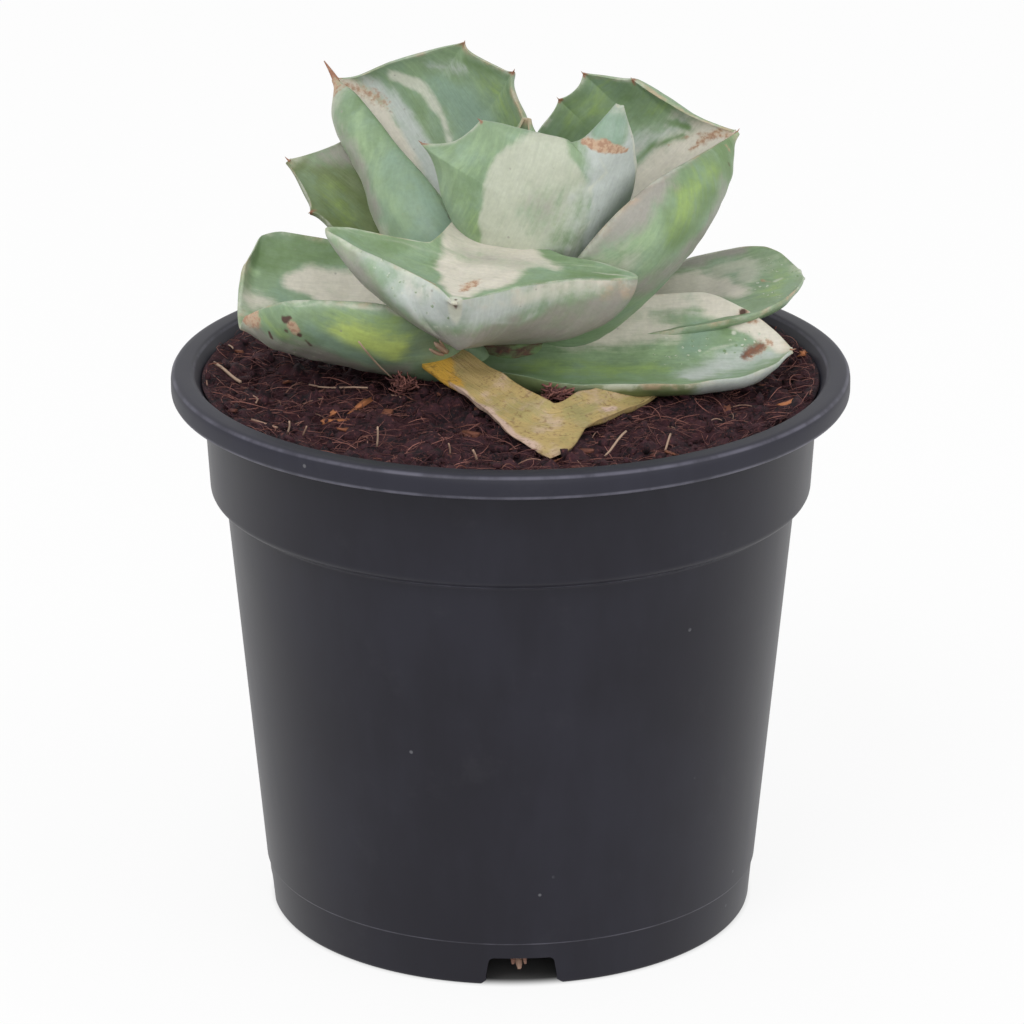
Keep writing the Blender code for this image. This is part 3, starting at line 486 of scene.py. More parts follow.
def copies(template, points):
    """One mesh of many copies of a template, with their points in millimetres as (copy, point, 3)."""
    bm = bmesh.new()
    for _ in points:
        bm.from_mesh(template)
    mesh = mesh_from(bm, template.name)
    move_to(mesh, points.reshape(-1, 3))
    return mesh


def strand_template(name, sides, parts):
    """A closed strand 1 long and 1 in radius along +X, in equal parts."""
    bm = bmesh.new()
    bmesh.ops.create_cone(bm, cap_ends=True, segments=sides, radius1=1.0, radius2=1.0, depth=1.0)
    bmesh.ops.rotate(bm, verts=bm.verts, cent=(0, 0, 0), matrix=Matrix.Rotation(math.pi / 2, 3, "Y"))
    bmesh.ops.translate(bm, verts=bm.verts, vec=(0.5, 0, 0))
    for part in range(1, parts):
        bmesh.ops.bisect_plane(bm, geom=bm.verts[:] + bm.edges[:] + bm.faces[:], plane_co=(part / parts, 0, 0),
                               plane_no=(1, 0, 0))
    bmesh.ops.recalc_face_normals(bm, faces=bm.faces)
    return mesh_from(bm, name)


def strands(name, sides, paths, radii, tones=None):
    """A mesh of thin closed strands along paths (strand, station, 3), each with a tone of its own."""
    stations = radii.shape[1]
    template = strand_template(name, sides, stations - 1)
    unit = point_vectors(template, "co")
    station = np.rint(unit[:, 0] * (stations - 1)).astype(int)
    ahead = np.gradient(paths, axis=1)
    ahead /= np.linalg.norm(ahead, axis=2, keepdims=True) + 1e-12
    across = np.cross(ahead, (0.29, 0.13, 0.95))
    across /= np.linalg.norm(across, axis=2, keepdims=True) + 1e-12
    above = np.cross(across, ahead)
    around = across[:, station] * unit[:, 1, None] + above[:, station] * unit[:, 2, None]
    mesh = copies(template, paths[:, station] + around * radii[:, station, None])
    if tones is not None:
        add_value(mesh, "tone", np.repeat(tones, len(unit)))
    return mesh


# ---------------------------------------------------------------- material helpers


class Finish:
    """A new material, or world, with short ways to add nodes and join them."""

    def __init__(self, name, kind=None):
        self.material = (bpy.data.materials if kind is None else kind).new(name)
        self.material.use_nodes = True
        self.nodes = self.material.node_tree.nodes
        self.shader = self.nodes.get("Principled BSDF")

    def feed(self, socket, value):
        if isinstance(value, bpy.types.NodeSocket):
            self.material.node_tree.links.new(value, socket)
        else:
            socket.default_value = (*value, 1.0) if isinstance(value, Color) else value

    def set(self, **inputs):
        """Sets or joins inputs of the Principled shader, named with _ for a space."""
        for name, value in inputs.items():
            self.feed(self.shader.inputs[name.replace("_", " ")], value)

    def node(self, kind, inputs, output=0, **settings):
        """Adds a node, feeds its inputs and gives back one of its outputs."""
        node = self.nodes.new("ShaderNode" + kind)
        for name, value in settings.items():
            setattr(node, name, value)
        for name, value in inputs.items():
            self.feed(node.inputs[name], value)
        return node.outputs[output]

    def seen(self):
        """1 for the rays that show the floor or sky itself, not for the light that they give."""
        path = self.nodes.new("ShaderNodeLightPath").outputs
        return self.most(self.most(path["Is Camera Ray"], path["Is Glossy Ray"]), path["Is Transmission Ray"])

    def maths(self, operation, first, second=0.0, third=0.0):
        return self.node("Math", {0: first, 1: second, 2: third}, operation=operation)

    def plus(self, first, second):
        return self.maths("ADD", first, second)

    def times(self, first, second):
        return self.maths("MULTIPLY", first, second)

    def scaled(self, value, factor, offset):
        return self.maths("MULTIPLY_ADD", value, factor, offset)

    def most(self, first, second):
        return self.maths("MAXIMUM", first, second)

    def mixed(self, factor, first, second):
        return self.node("Mix", {0: factor, 6: first, 7: second}, 2, data_type="RGBA")

    def shifted(self, value, low, high, first=0.0, last=1.0):
        """Goes smoothly from first to last as the value goes from low to high."""
        return self.node("MapRange", dict(enumerate((value, low, high, first, last))),
                         interpolation_type="SMOOTHSTEP")

    def attribute(self, name, output="Fac"):
        return self.node("Attribute", {}, output, attribute_name=name)

    def place(self):
        return self.node("TexCoord", {}, "Object")

    def height(self):
        return self.node("SeparateXYZ", {0: self.place()}, "Z")

    def stretched(self, vector, scale):
        return self.node("Mapping", {"Vector": vector, "Scale": scale}, "Vector")

    def noise(self, vector, scale, detail=3.0, roughness=0.55, distortion=0.0, output="Fac"):
        return self.node("TexNoise", {"Vector": vector, "Scale": scale, "Detail": detail, "Roughness": roughness,
                                      "Distortion": distortion}, output)

    def noises(self, vector, scale, detail=3.0, roughness=0.55):
        """Three unlike noises of one scale."""
        together = self.noise(vector, scale, detail, roughness, output="Color")
        return self.node("SeparateColor", {0: together}).node.outputs

    def cells(self, vector, scale):
        return self.node("TexVoronoi", {"Vector": vector, "Scale": scale}, "Distance")

    def bump(self, height, distance, strength=1.0, under=None):
        """Raises the surface by the height, 0 to 1, times the distance in millimetres."""
        inputs = {"Height": height, "Distance": distance * MM, "Strength": strength}
        if under is not None:
            inputs["Normal"] = under
        return self.node("Bump", inputs, "Normal")


# ---------------------------------------------------------------- settings


def colour_setting(name, description, default):
    return bpy.props.FloatVectorProperty(name=name, description=description, default=default, size=3, min=0.0,
                                         max=1.0, subtype="COLOR")


def length_setting(name, description, default, least=0.0):
    return bpy.props.FloatProperty(name=name, description=description, default=default, min=least, unit="LENGTH",
                                   subtype="DISTANCE")


def count_setting(name, description, default, least=0):
    return bpy.props.IntProperty(name=name, description=description, default=default, min=least)


class PotSettings(bpy.types.PropertyGroup):
    plastic: colour_setting("Plastic", "Moulded plastic of the pot", (0.0095, 0.0088, 0.0145))
    plastic_worn: colour_setting("Worn plastic", "Where the plastic is scuffed and dusty", (0.020, 0.0200, 0.031))
    # Colour of the painted highlight lines along the rim, collar and band edges.
    edge_highlight: colour_setting("Edge highlight", "Painted highlight lines along the edges", (0.115, 0.112, 0.145))
    dust: colour_setting("Dust", "Dust and dried water on the pot", (0.10, 0.10, 0.11))
    roughness: bpy.props.FloatProperty(name="Roughness", description="How matt the plastic is", default=0.40,
                                       min=0.0, max=1.0, subtype="FACTOR")
    steps: count_setting("Steps", "Flat steps round the pot", 256, 32)


class SoilSettings(bpy.types.PropertyGroup):
    earth: colour_setting("Earth", "Coir and peat of the soil", (0.050, 0.016, 0.022))
    # Hollow shade is painted shade, near black, in the gaps between the crumbs.
    hollow_shade: colour_setting("Hollows", "Dark gaps between the crumbs", (0.008, 0.004, 0.007))
    fibre: colour_setting("Fibre", "Red-brown coir fibre", (0.19, 0.068, 0.050))
    fibre_light: colour_setting("Light fibre", "Dry ends of the fibre", (0.36, 0.155, 0.125))
    straw: colour_setting("Straw", "Pale dry straw", (0.45, 0.32, 0.235))
    chip: colour_setting("Chip", "Orange-brown wood chip", (0.42, 0.16, 0.07))
    crumbs: count_setting("Crumbs", "Loose crumbs on the soil", 1300)
    fibres: count_setting("Fibres", "Thin coir fibres on the soil", 4200)
    straws: count_setting("Straws", "Small pale straws strewn on the soil", 70)
    chips: count_setting("Chips", "Chips of wood and bark on the soil", 55, 5)


class LeafSettings(bpy.types.PropertyGroup):
    green: colour_setting("Green", "Plain skin of a living leaf", (0.215, 0.305, 0.180))
    olive: colour_setting("Olive", "Skin of the leaf in the shade behind", (0.125, 0.165, 0.066))
    deep: colour_setting("Deep green", "Skin with its wax rubbed off", (0.135, 0.215, 0.088))
    fresh: colour_setting("Fresh green", "Light green streaks", (0.30, 0.415, 0.235))
    vivid: colour_setting("Vivid green", "Yellow-green areas", (0.265, 0.375, 0.105))
    # Lime is a painted highlight: a bright yellow-green on the lower face of the lower left leaf.
    lime: colour_setting("Lime", "Yellow-green painted highlight", (0.46, 0.57, 0.17))
    blue: colour_setting("Blue green", "Thin blue-green wax", (0.215, 0.315, 0.235))
    bloom: colour_setting("Bloom", "Pale powdery bloom", (0.435, 0.46, 0.365))
    wax: colour_setting("Wax", "Thick pale grey wax", (0.445, 0.485, 0.455))
    blush: colour_setting("Blush", "Pinkish cream of drying skin", (0.60, 0.565, 0.485))
    # Dusk is the grey-brown of old skin, and is also painted shade on the undersides and lower edges of the leaves.
    dusk: colour_setting("Dusk", "Grey-brown shade on old skin", (0.285, 0.275, 0.24))
    line: colour_setting("Line", "Pale lines and margins", (0.53, 0.55, 0.46))
    scar: colour_setting("Scar", "Corky scars", (0.50, 0.35, 0.24))
    pit: colour_setting("Pit", "Dark pits and seams", (0.085, 0.046, 0.034))
    rust: colour_setting("Rust", "Spines and tooth tips", (0.27, 0.12, 0.07))
    rows: count_setting("Rows", "Rows of faces along a leaf", 190, 12)
    columns: count_setting("Columns", "Faces round a leaf", 200, 16)
    waviness: length_setting("Waviness", "Unevenness of the skin", 0.00035)


class DeadLeafSettings(bpy.types.PropertyGroup):
    straw: colour_setting("Straw yellow", "Withered skin", (0.44, 0.325, 0.135))
    orange: colour_setting("Orange", "Freshly dried end", (0.64, 0.37, 0.06))
    olive: colour_setting("Olive", "Skin that still holds some green", (0.33, 0.285, 0.115))
    pale: colour_setting("Pale", "Papery bleached rim", (0.56, 0.41, 0.33))
    stain: colour_setting("Stain", "Brown stains and burnt ends", (0.17, 0.09, 0.04))
    rows: count_setting("Rows", "Rows of faces along the leaf", 170, 12)
    columns: count_setting("Columns", "Faces round the leaf", 72, 16)
    wrinkle: length_setting("Wrinkles", "Height of the folds", 0.00035)


class StageSettings(bpy.types.PropertyGroup):
    floor: colour_setting("Floor", "Pale floor", (0.9, 0.9, 0.9))
    sky: bpy.props.FloatProperty(name="Sky", description="Strength of the even light from all round",
                                 default=0.74, min=0.0)
    key: bpy.props.FloatProperty(name="Key light", description="Power of the large lamp above the viewer",
                                 default=15.0, min=0.0, unit="POWER")
    lens: bpy.props.FloatProperty(name="Lens", description="Focal length in millimetres", default=181.7, min=1.0)
    distance: length_setting("Distance", "From the camera to the middle of the pot", 0.9, 0.1)
    elevation: bpy.props.FloatProperty(name="Elevation", description="Height angle of the camera",
                                       default=math.radians(19.79), unit="ROTATION", subtype="ANGLE")


# ---------------------------------------------------------------- pot


def body_radius(height):
    """Outer radius of the tapered body between the foot band and the crease under the collar."""
    share = (height - BAND_HEIGHT) / (CREASE_HEIGHT - BAND_HEIGHT)
    return BAND_RADIUS + (CREASE_RADIUS - BAND_RADIUS) * share


def pot_inside():
    """The inner wall from the floor up to the opening, where the soil lies against it."""
    return [
        (BAND_RADIUS - WALL, FLOOR_TOP, 0.8),
        (CREASE_RADIUS - WALL, CREASE_HEIGHT + WALL, 0.6),
        (COLLAR_RADIUS - WALL, COLLAR_BOTTOM + 0.5 * WALL, 0.6),
        (COLLAR_TOP_RADIUS - WALL, POT_HEIGHT - RIM_DEPTH - 0.3 * WALL, 0.6),
    ]


def pot_profile():
    rim_underside = POT_HEIGHT - RIM_DEPTH
    outside = [
        (RIM_OPENING_RADIUS, POT_HEIGHT, 0.5),
        (RIM_RADIUS, POT_HEIGHT, 1.5),
        (RIM_RADIUS, rim_underside, 1.1),
        (COLLAR_TOP_RADIUS, rim_underside, 0.5),
        (COLLAR_RADIUS, COLLAR_BOTTOM, 0.9),
        (body_radius(CREASE_HEIGHT), CREASE_HEIGHT, 0.5),
        (body_radius(BAND_HEIGHT), BAND_HEIGHT, 0.15),
        (BAND_RADIUS - BAND_STEP, BAND_HEIGHT - BAND_STEP, 0.15),
        (FOOT_RADIUS, 0.0, 0.8),
    ]
    recess = [
        (FOOT_RADIUS - FOOT_WALL, 0.0, 0.35),
        (FOOT_RADIUS - FOOT_WALL, FLOOR_UNDERSIDE, 0.5),
        (0.0, FLOOR_UNDERSIDE, 0),
        (0.0, FLOOR_TOP, 0),
    ]
    return outside + recess + pot_inside()


def opening_angle(number):
    return math.radians(-90 + OPENING_TURN + number * 360 / OPENINGS)


def openings_cutter():
    """One mesh of the wedges and cylinders that open the drain notches and the drain holes."""
    bm = bmesh.new()
    below = NOTCH_HEIGHT / 4
    width_below = NOTCH_FOOT_WIDTH + (NOTCH_FOOT_WIDTH - NOTCH_TOP_WIDTH) * below / NOTCH_HEIGHT
    flare_below = FLARE_WIDTH * (1 + below / FLARE_HEIGHT) - NOTCH_FOOT_WIDTH * below / FLARE_HEIGHT
    for number in range(OPENINGS):
        angle = opening_angle(number)
        wedge = bmesh.ops.create_cube(bm, size=1.0)["verts"]
        for vertex in wedge:
            at_top = vertex.co.z > 0
            vertex.co.x = (vertex.co.x * NOTCH_REACH + FOOT_RADIUS) * MM
            vertex.co.y *= (NOTCH_TOP_WIDTH if at_top else width_below) * MM
            vertex.co.z = (NOTCH_HEIGHT if at_top else -below) * MM
        shape = {part for vertex in wedge for part in (vertex, *vertex.link_edges, *vertex.link_faces)}
        cut = bmesh.ops.bisect_plane(bm, geom=list(shape), plane_co=(0, 0, FLARE_HEIGHT * MM), plane_no=(0, 0, 1))
        wedge += [part for part in cut["geom_cut"] if isinstance(part, bmesh.types.BMVert)]
        for vertex in wedge:
            if vertex.co.z < 0:
                vertex.co.y *= flare_below / width_below
        upper = [edge for edge in bm.edges if edge.is_valid and all(v in wedge for v in edge.verts)
                 and all(v.co.z > 0 for v in edge.verts) and abs(edge.verts[0].co.y - edge.verts[1].co.y) < MM]
        bmesh.ops.rotate(bm, verts=wedge, cent=(0, 0, 0), matrix=Matrix.Rotation(angle, 3, "Z"))
        bmesh.ops.bevel(bm, geom=upper, offset=NOTCH_ROUNDING * MM, offset_type="OFFSET", segments=4, profile=0.5,
                        affect="EDGES", material=-1)
        drill = bmesh.ops.create_cone(bm, cap_ends=True, segments=48, radius1=DRAIN_HOLE_RADIUS * MM,
                                      radius2=DRAIN_HOLE_RADIUS * MM, depth=4 * (FLOOR_TOP - FLOOR_UNDERSIDE) * MM)
        place = (DRAIN_HOLE_CIRCLE * math.cos(angle) * MM, DRAIN_HOLE_CIRCLE * math.sin(angle) * MM,
                 (FLOOR_TOP + FLOOR_UNDERSIDE) / 2 * MM)
        bmesh.ops.translate(bm, verts=drill["verts"], vec=place)
    bmesh.ops.recalc_face_normals(bm, faces=bm.faces)
    return mesh_from(bm, "openings")


def plastic_finish(look):
    """Satin black plastic with a fine moulded grain, scuffs, dust, a few dried drops and painted highlight lines
    along its edges.
    """
    f = Finish("pot_plastic")
    place = f.place()
    broad = f.noise(place, 28.0, detail=4.0)
    drawn = f.noise(f.stretched(place, (1.0, 1.0, 0.25)), 170.0, detail=5.0, roughness=0.6)
    fine = f.noise(place, 2600.0, detail=2.0)
    worn = f.shifted(f.scaled(drawn, 0.35, f.times(broad, 0.65)), 0.40, 0.66)
    handled = f.shifted(f.height(), (POT_HEIGHT - RIM_DEPTH - 0.4) * MM, (POT_HEIGHT - RIM_DEPTH + 0.4) * MM)
    worn = f.scaled(handled, 0.7, f.times(worn, 0.4))
    colour = f.mixed(worn, look.plastic, look.plastic_worn)
    # Painted highlights: pale lines along the rim, collar and band edges, uneven along their length.
    for height, half in EDGE_HIGHLIGHTS:
        near = f.maths("ABSOLUTE", f.maths("SUBTRACT", f.height(), height * MM))
        edge_highlight = f.times(f.shifted(near, half * MM, 0.2 * half * MM), f.shifted(drawn, 0.35, 0.65, 0.25, 0.8))
        colour = f.mixed(edge_highlight, colour, look.edge_highlight)
    specks = f.cells(place, 210.0)
    speck_chance = f.shifted(f.noise(place, 75.0, detail=1.0), 0.60, 0.66)
    speck = f.times(f.shifted(specks, 0.085, 0.05), speck_chance)
    haze = f.times(f.shifted(f.noise(place, 90.0, detail=6.0, roughness=0.7), 0.55, 0.75), 0.05)
    colour = f.mixed(f.most(speck, haze), colour, look.dust)
    rough = f.scaled(worn, 0.10, f.scaled(speck, 0.3, look.roughness))
    grain = f.bump(fine, 0.02, 0.35)
    f.set(Base_Color=colour, Roughness=rough, Normal=f.bump(drawn, 0.05, 0.12, grain), Specular_IOR_Level=0.24)
    return f.material


class MakePot(bpy.types.Operator):
    """Turn the pot, open its drain notches and holes, and give it its plastic"""

    bl_idname = "succulent.pot"
    bl_label = "Pot"

    def execute(self, context):
        look = context.scene.succulent_pot
        mesh = mesh_from(turned(rounded(pot_profile()), look.steps), "nursery_pot")
        pot = add_object("pot_blank", mesh)
        cutter = add_object("openings", openings_cutter())
        cut = pot.modifiers.new("openings", "BOOLEAN")
        cut.operation = "DIFFERENCE"
        cut.solver = "EXACT"
        cut.object = cutter
        context.view_layer.update()
        opened = bpy.data.meshes.new_from_object(pot.evaluated_get(context.evaluated_depsgraph_get()))
        bpy.data.objects.remove(pot)
        bpy.data.objects.remove(cutter)
        add_piece("nursery_pot", opened, plastic_finish(look), ["pot"])
        opened.set_sharp_from_angle(angle=SHARP_ANGLE)
        return {"FINISHED"}


# ---------------------------------------------------------------- leaf shapes


def through_stations(stations, s):
    """A smooth curve through (fraction, value) stations that never overshoots them."""
    at, value = np.array(stations, float).T
    step = np.diff(at)
    rise = np.diff(value) / step
    slope = np.zeros(len(at))
    slope[0], slope[-1] = rise[0], rise[-1]
    for i in range(1, len(at) - 1):
        if rise[i - 1] * rise[i] > 0:
            slope[i] = 2 * rise[i - 1] * rise[i] / (rise[i - 1] + rise[i])
    i = np.clip(np.searchsorted(at, s, side="right") - 1, 0, len(step) - 1)
    t = (s - at[i]) / step[i]
    return (
        (2 * t**3 - 3 * t**2 + 1) * value[i] + (t**3 - 2 * t**2 + t) * step[i] * slope[i]
        + (3 * t**2 - 2 * t**3) * value[i + 1] + (t**3 - t**2) * step[i] * slope[i + 1]
    )


def turned_towards(first, second, angle):
    """Two perpendicular directions, turned in their plane so that the first moves towards the second."""
    return (
        first * math.cos(angle) + second * math.sin(angle),
        second * math.cos(angle) - first * math.sin(angle),
    )


def at_fractions(s, fine, values):
    return np.stack([np.interp(s, fine, values[:, k]) for k in range(3)], -1)


def leaf_frame(leaf, s):
    """The centre line at the fractions s, with the leaf's left, inner and onward directions there."""
    fine = np.linspace(0, 1, FINE_STEPS + 1)
    turn = smooth_step(*leaf["kink"], fine) if "kink" in leaf else fine
    pitch = np.radians(leaf["rise"] + leaf.get("curl", 0) * fine)
    yaw = np.radians(leaf["heading"] + leaf.get("sweep", 0) * turn)
    lean, roll = math.radians(leaf.get("lean", 0)), math.radians(leaf.get("roll", 0))
    ahead = np.stack([np.cos(pitch) * np.cos(yaw), np.cos(pitch) * np.sin(yaw), np.sin(pitch)], -1)
    inner = np.stack([-np.sin(pitch) * np.cos(yaw), -np.sin(pitch) * np.sin(yaw), np.cos(pitch)], -1)
    left = np.cross(inner, ahead)
    inner, left = turned_towards(inner, left, roll)
    ahead, left = turned_towards(ahead, left, lean)
    steps = (ahead[1:] + ahead[:-1]) / 2 * leaf["length"] / FINE_STEPS
    centre = np.vstack([np.zeros(3), np.cumsum(steps, 0)]) + leaf["base"]
    return [at_fractions(s, fine, values) for values in (centre, left, inner, ahead)]


def teeth(leaf):
    """(side, fraction of the length, height) of each tooth on the margins."""
    return [(side, *tooth) for side in ("left", "right") for tooth in leaf.get(side + "_teeth", ())]


def half_width(leaf, side, s, with_teeth=False):
    width = through_stations(leaf[side], s)
    for on_side, at, height in teeth(leaf):
        if with_teeth and on_side == side:
            width = width + height * np.exp(-np.abs(s - at) / TOOTH_SPREAD)
    return width


def side_width(leaf, s, v, with_teeth=False):
    return np.where(v >= 0, *(half_width(leaf, side, s, with_teeth) for side in ("left", "right")))


def leaf_points(leaf, s, v, with_teeth=True):
    """Points of the inner face: s runs from base to tip, v from -1 at the right margin to 1 at the left."""
    centre, left, inner, _ = leaf_frame(leaf, s)
    width = side_width(leaf, s, v)
    if with_teeth:
        width = width + (side_width(leaf, s, v, True) - width) * v**4
    bend = np.radians(np.where(v >= 0, *leaf["cup"]))
    angle = bend * np.abs(v)
    across = np.where(v >= 0, 1.0, -1.0) * np.sin(angle) / bend * width
    upward = (1 - np.cos(angle)) / bend * width
    return centre + left * across[:, None] + inner * upward[:, None]


def leaf_normals(leaf, s, v):
    """Unit directions that point out of the inner face."""
    little = 0.002
    along = (leaf_points(leaf, np.clip(s + little, 0, 1), v, False)
             - leaf_points(leaf, np.clip(s - little, 0, 1), v, False))
    across = (leaf_points(leaf, s, np.clip(v + little, -1, 1), False)
              - leaf_points(leaf, s, np.clip(v - little, -1, 1), False))
    normal = np.cross(along, across)
    return normal / (np.linalg.norm(normal, axis=1, keepdims=True) + 1e-12)


def leaf_sections(leaf, rows):
    """(fraction, cap angle) of each row of faces: closer at the teeth, then over the tip."""
    near = [at + step for _, at, _ in teeth(leaf) for step in (-0.01, -0.004, 0.0, 0.004, 0.01)]
    fractions = np.union1d(np.linspace(0, 1, rows), near)
    return np.array([(s, 0.0) for s in fractions] + [(1.0, math.radians(angle)) for angle in TIP_CAP])


def stroke_distance(flat, stroke):
    """Distance from flat points to a stroke of (x, y, radius) points, less the radius there."""
    stroke = np.array(stroke, float)
    if len(stroke) == 1:
        stroke = np.vstack([stroke, stroke + (0, 1e-6, 0)])
    best = np.full(len(flat), np.inf)
    for start, end in zip(stroke[:-1], stroke[1:]):
        run = end[:2] - start[:2]
        t = np.clip(((flat - start[:2]) @ run) / (run @ run), 0, 1)
        gap = np.linalg.norm(flat - start[:2] - t[:, None] * run, axis=1)
        best = np.minimum(best, gap - start[2] - t * (end[2] - start[2]))
    return best


def mark_values(name, leaf, points, s, v, outside, finishes):
    """How much of each finish each point has, from the leaf's marks, as {finish: values from 0 to 1}."""
    seed = sorted(LEAVES).index(name) + 1
    flat = np.stack([v * side_width(leaf, s, v), s * leaf["length"]], -1)
    wobble = 0.8 * lattice_noise(points, 5.0, seed) + 0.4 * lattice_noise(points, 1.7, seed + 20)
    values = {finish: np.zeros(len(points)) for finish in finishes}
    # A cover hides the covers under it. Any other mark lies over them and keeps its strongest value.
    for finish, face, softness, strength, stroke in MARKS.get(name, ()):
        if face == "front":
            gap = stroke_distance(points[:, [0, 2]], stroke)
        else:
            at, across, radius = np.array(stroke, float).T
            across = across * side_width(leaf, at, across)
            gap = stroke_distance(flat, np.stack([across, at * leaf["length"], radius], -1))
        calm = min(1.0, 0.15 + softness / 2)
        reach = softness * (BLENDING if finish in COVERS else 1.0)
        amount = strength * (1 - smooth_step(-reach, reach, gap + wobble * calm))
        if face in ("in", "out", "front"):
            amount = amount * np.where(outside, face != "in", face == "in")
        if finish in COVERS:
            for other in set(COVERS) & set(finishes):
                values[other] *= 1 - amount
            values[finish] += amount
        else:
            values[finish] = np.maximum(values[finish], amount)
    if "rust" in values:
        for side, at, _ in teeth(leaf):
            edge = half_width(leaf, side, np.array([at]))[0] * (1 if side == "left" else -1)
            gap = np.hypot(flat[:, 0] - edge, flat[:, 1] - at * leaf["length"])
            values["rust"] = np.maximum(values["rust"], 0.8 - 0.8 * smooth_step(0.1, 0.9, gap + 0.2 * wobble))
    return values, flat


def leaf_mesh(name, leaf, rows, columns, waviness, finishes):
    """A closed skin round a leaf: the inner face on its formula, the flesh outside it, round margins and tip."""
    seed = sorted(LEAVES).index(name) + 1
    sections = leaf_sections(leaf, rows)
    bm = bmesh.new()
    bmesh.ops.create_grid(bm, x_segments=len(sections) - 1, y_segments=columns, size=1.0)
    mesh = mesh_from(bm, name + "_skin")
    grid = point_vectors(mesh, "co")
    row = np.rint((grid[:, 0] + 1) / 2 * (len(sections) - 1)).astype(int)
    column = np.rint((grid[:, 1] + 1) / 2 * columns).astype(int) % columns
    s, cap = sections[row].T
    turn = 2 * math.pi * column / columns
    v = np.cos(turn)
    outside = column > columns // 2
    lengthwise = (1 - TIP_THINNING * s) * (1 - smooth_step(TIP_STARTS, 1.0, s))
    rounding = np.sqrt(np.clip(1 - v**2, 0, 1))
    crosswise = rounding * (1 + leaf.get("lopsided", 0) * np.minimum(v, 0))
    thickness = EDGE_THICKNESS * np.sqrt(np.clip(1 - v**8, 0, 1)) + leaf["thick"] * lengthwise * crosswise
    inner = leaf_points(leaf, s, v)
    normal = leaf_normals(leaf, s, v)
    ahead = leaf_frame(leaf, s)[3]
    middle = inner - normal * (thickness / 2)[:, None]
    half = np.where(outside, -0.5, 0.5) * thickness * np.cos(cap)
    points = middle + normal * half[:, None] + ahead * (thickness / 2 * np.sin(cap))[:, None]
    # The whole leaf sways, each face has its own small lumps, and the base stays where the stem holds it.
    free = smooth_step(0.0, 0.25, s)
    sway = waviness / MM * (1.2 * lattice_noise(middle, 11.0, seed) + 0.6 * lattice_noise(middle, 4.5, seed + 9))
    lumps = waviness / MM * 0.5 * lattice_noise(points, 2.6, seed + 31) * rounding
    points = points + normal * (free * (sway + lumps))[:, None]
    move_to(mesh, points)
    values, flat = mark_values(name, leaf, points, s, v, outside, finishes)
    for finish, amount in values.items():
        add_value(mesh, finish, amount)
    add_value(mesh, "margin", smooth_step(0.95, 1.0, np.maximum(np.abs(v), s)) * smooth_step(0.15, 0.4, s))
    if name in CROSS_GRAINED:
        flat = flat[:, ::-1]
    add_value(mesh, "grain", np.stack([flat[:, 0] + 100 * outside, flat[:, 1], np.full(len(s), 37.0 * seed)], -1))
    bm = bmesh.new()
    bm.from_mesh(mesh)
    bmesh.ops.remove_doubles(bm, verts=bm.verts, dist=0.002 * MM)
    bmesh.ops.holes_fill(bm, edges=[edge for edge in bm.edges if edge.is_boundary], sides=0)
    bmesh.ops.recalc_face_normals(bm, faces=bm.faces)
    bm.to_mesh(mesh)
    bm.free()
    return mesh


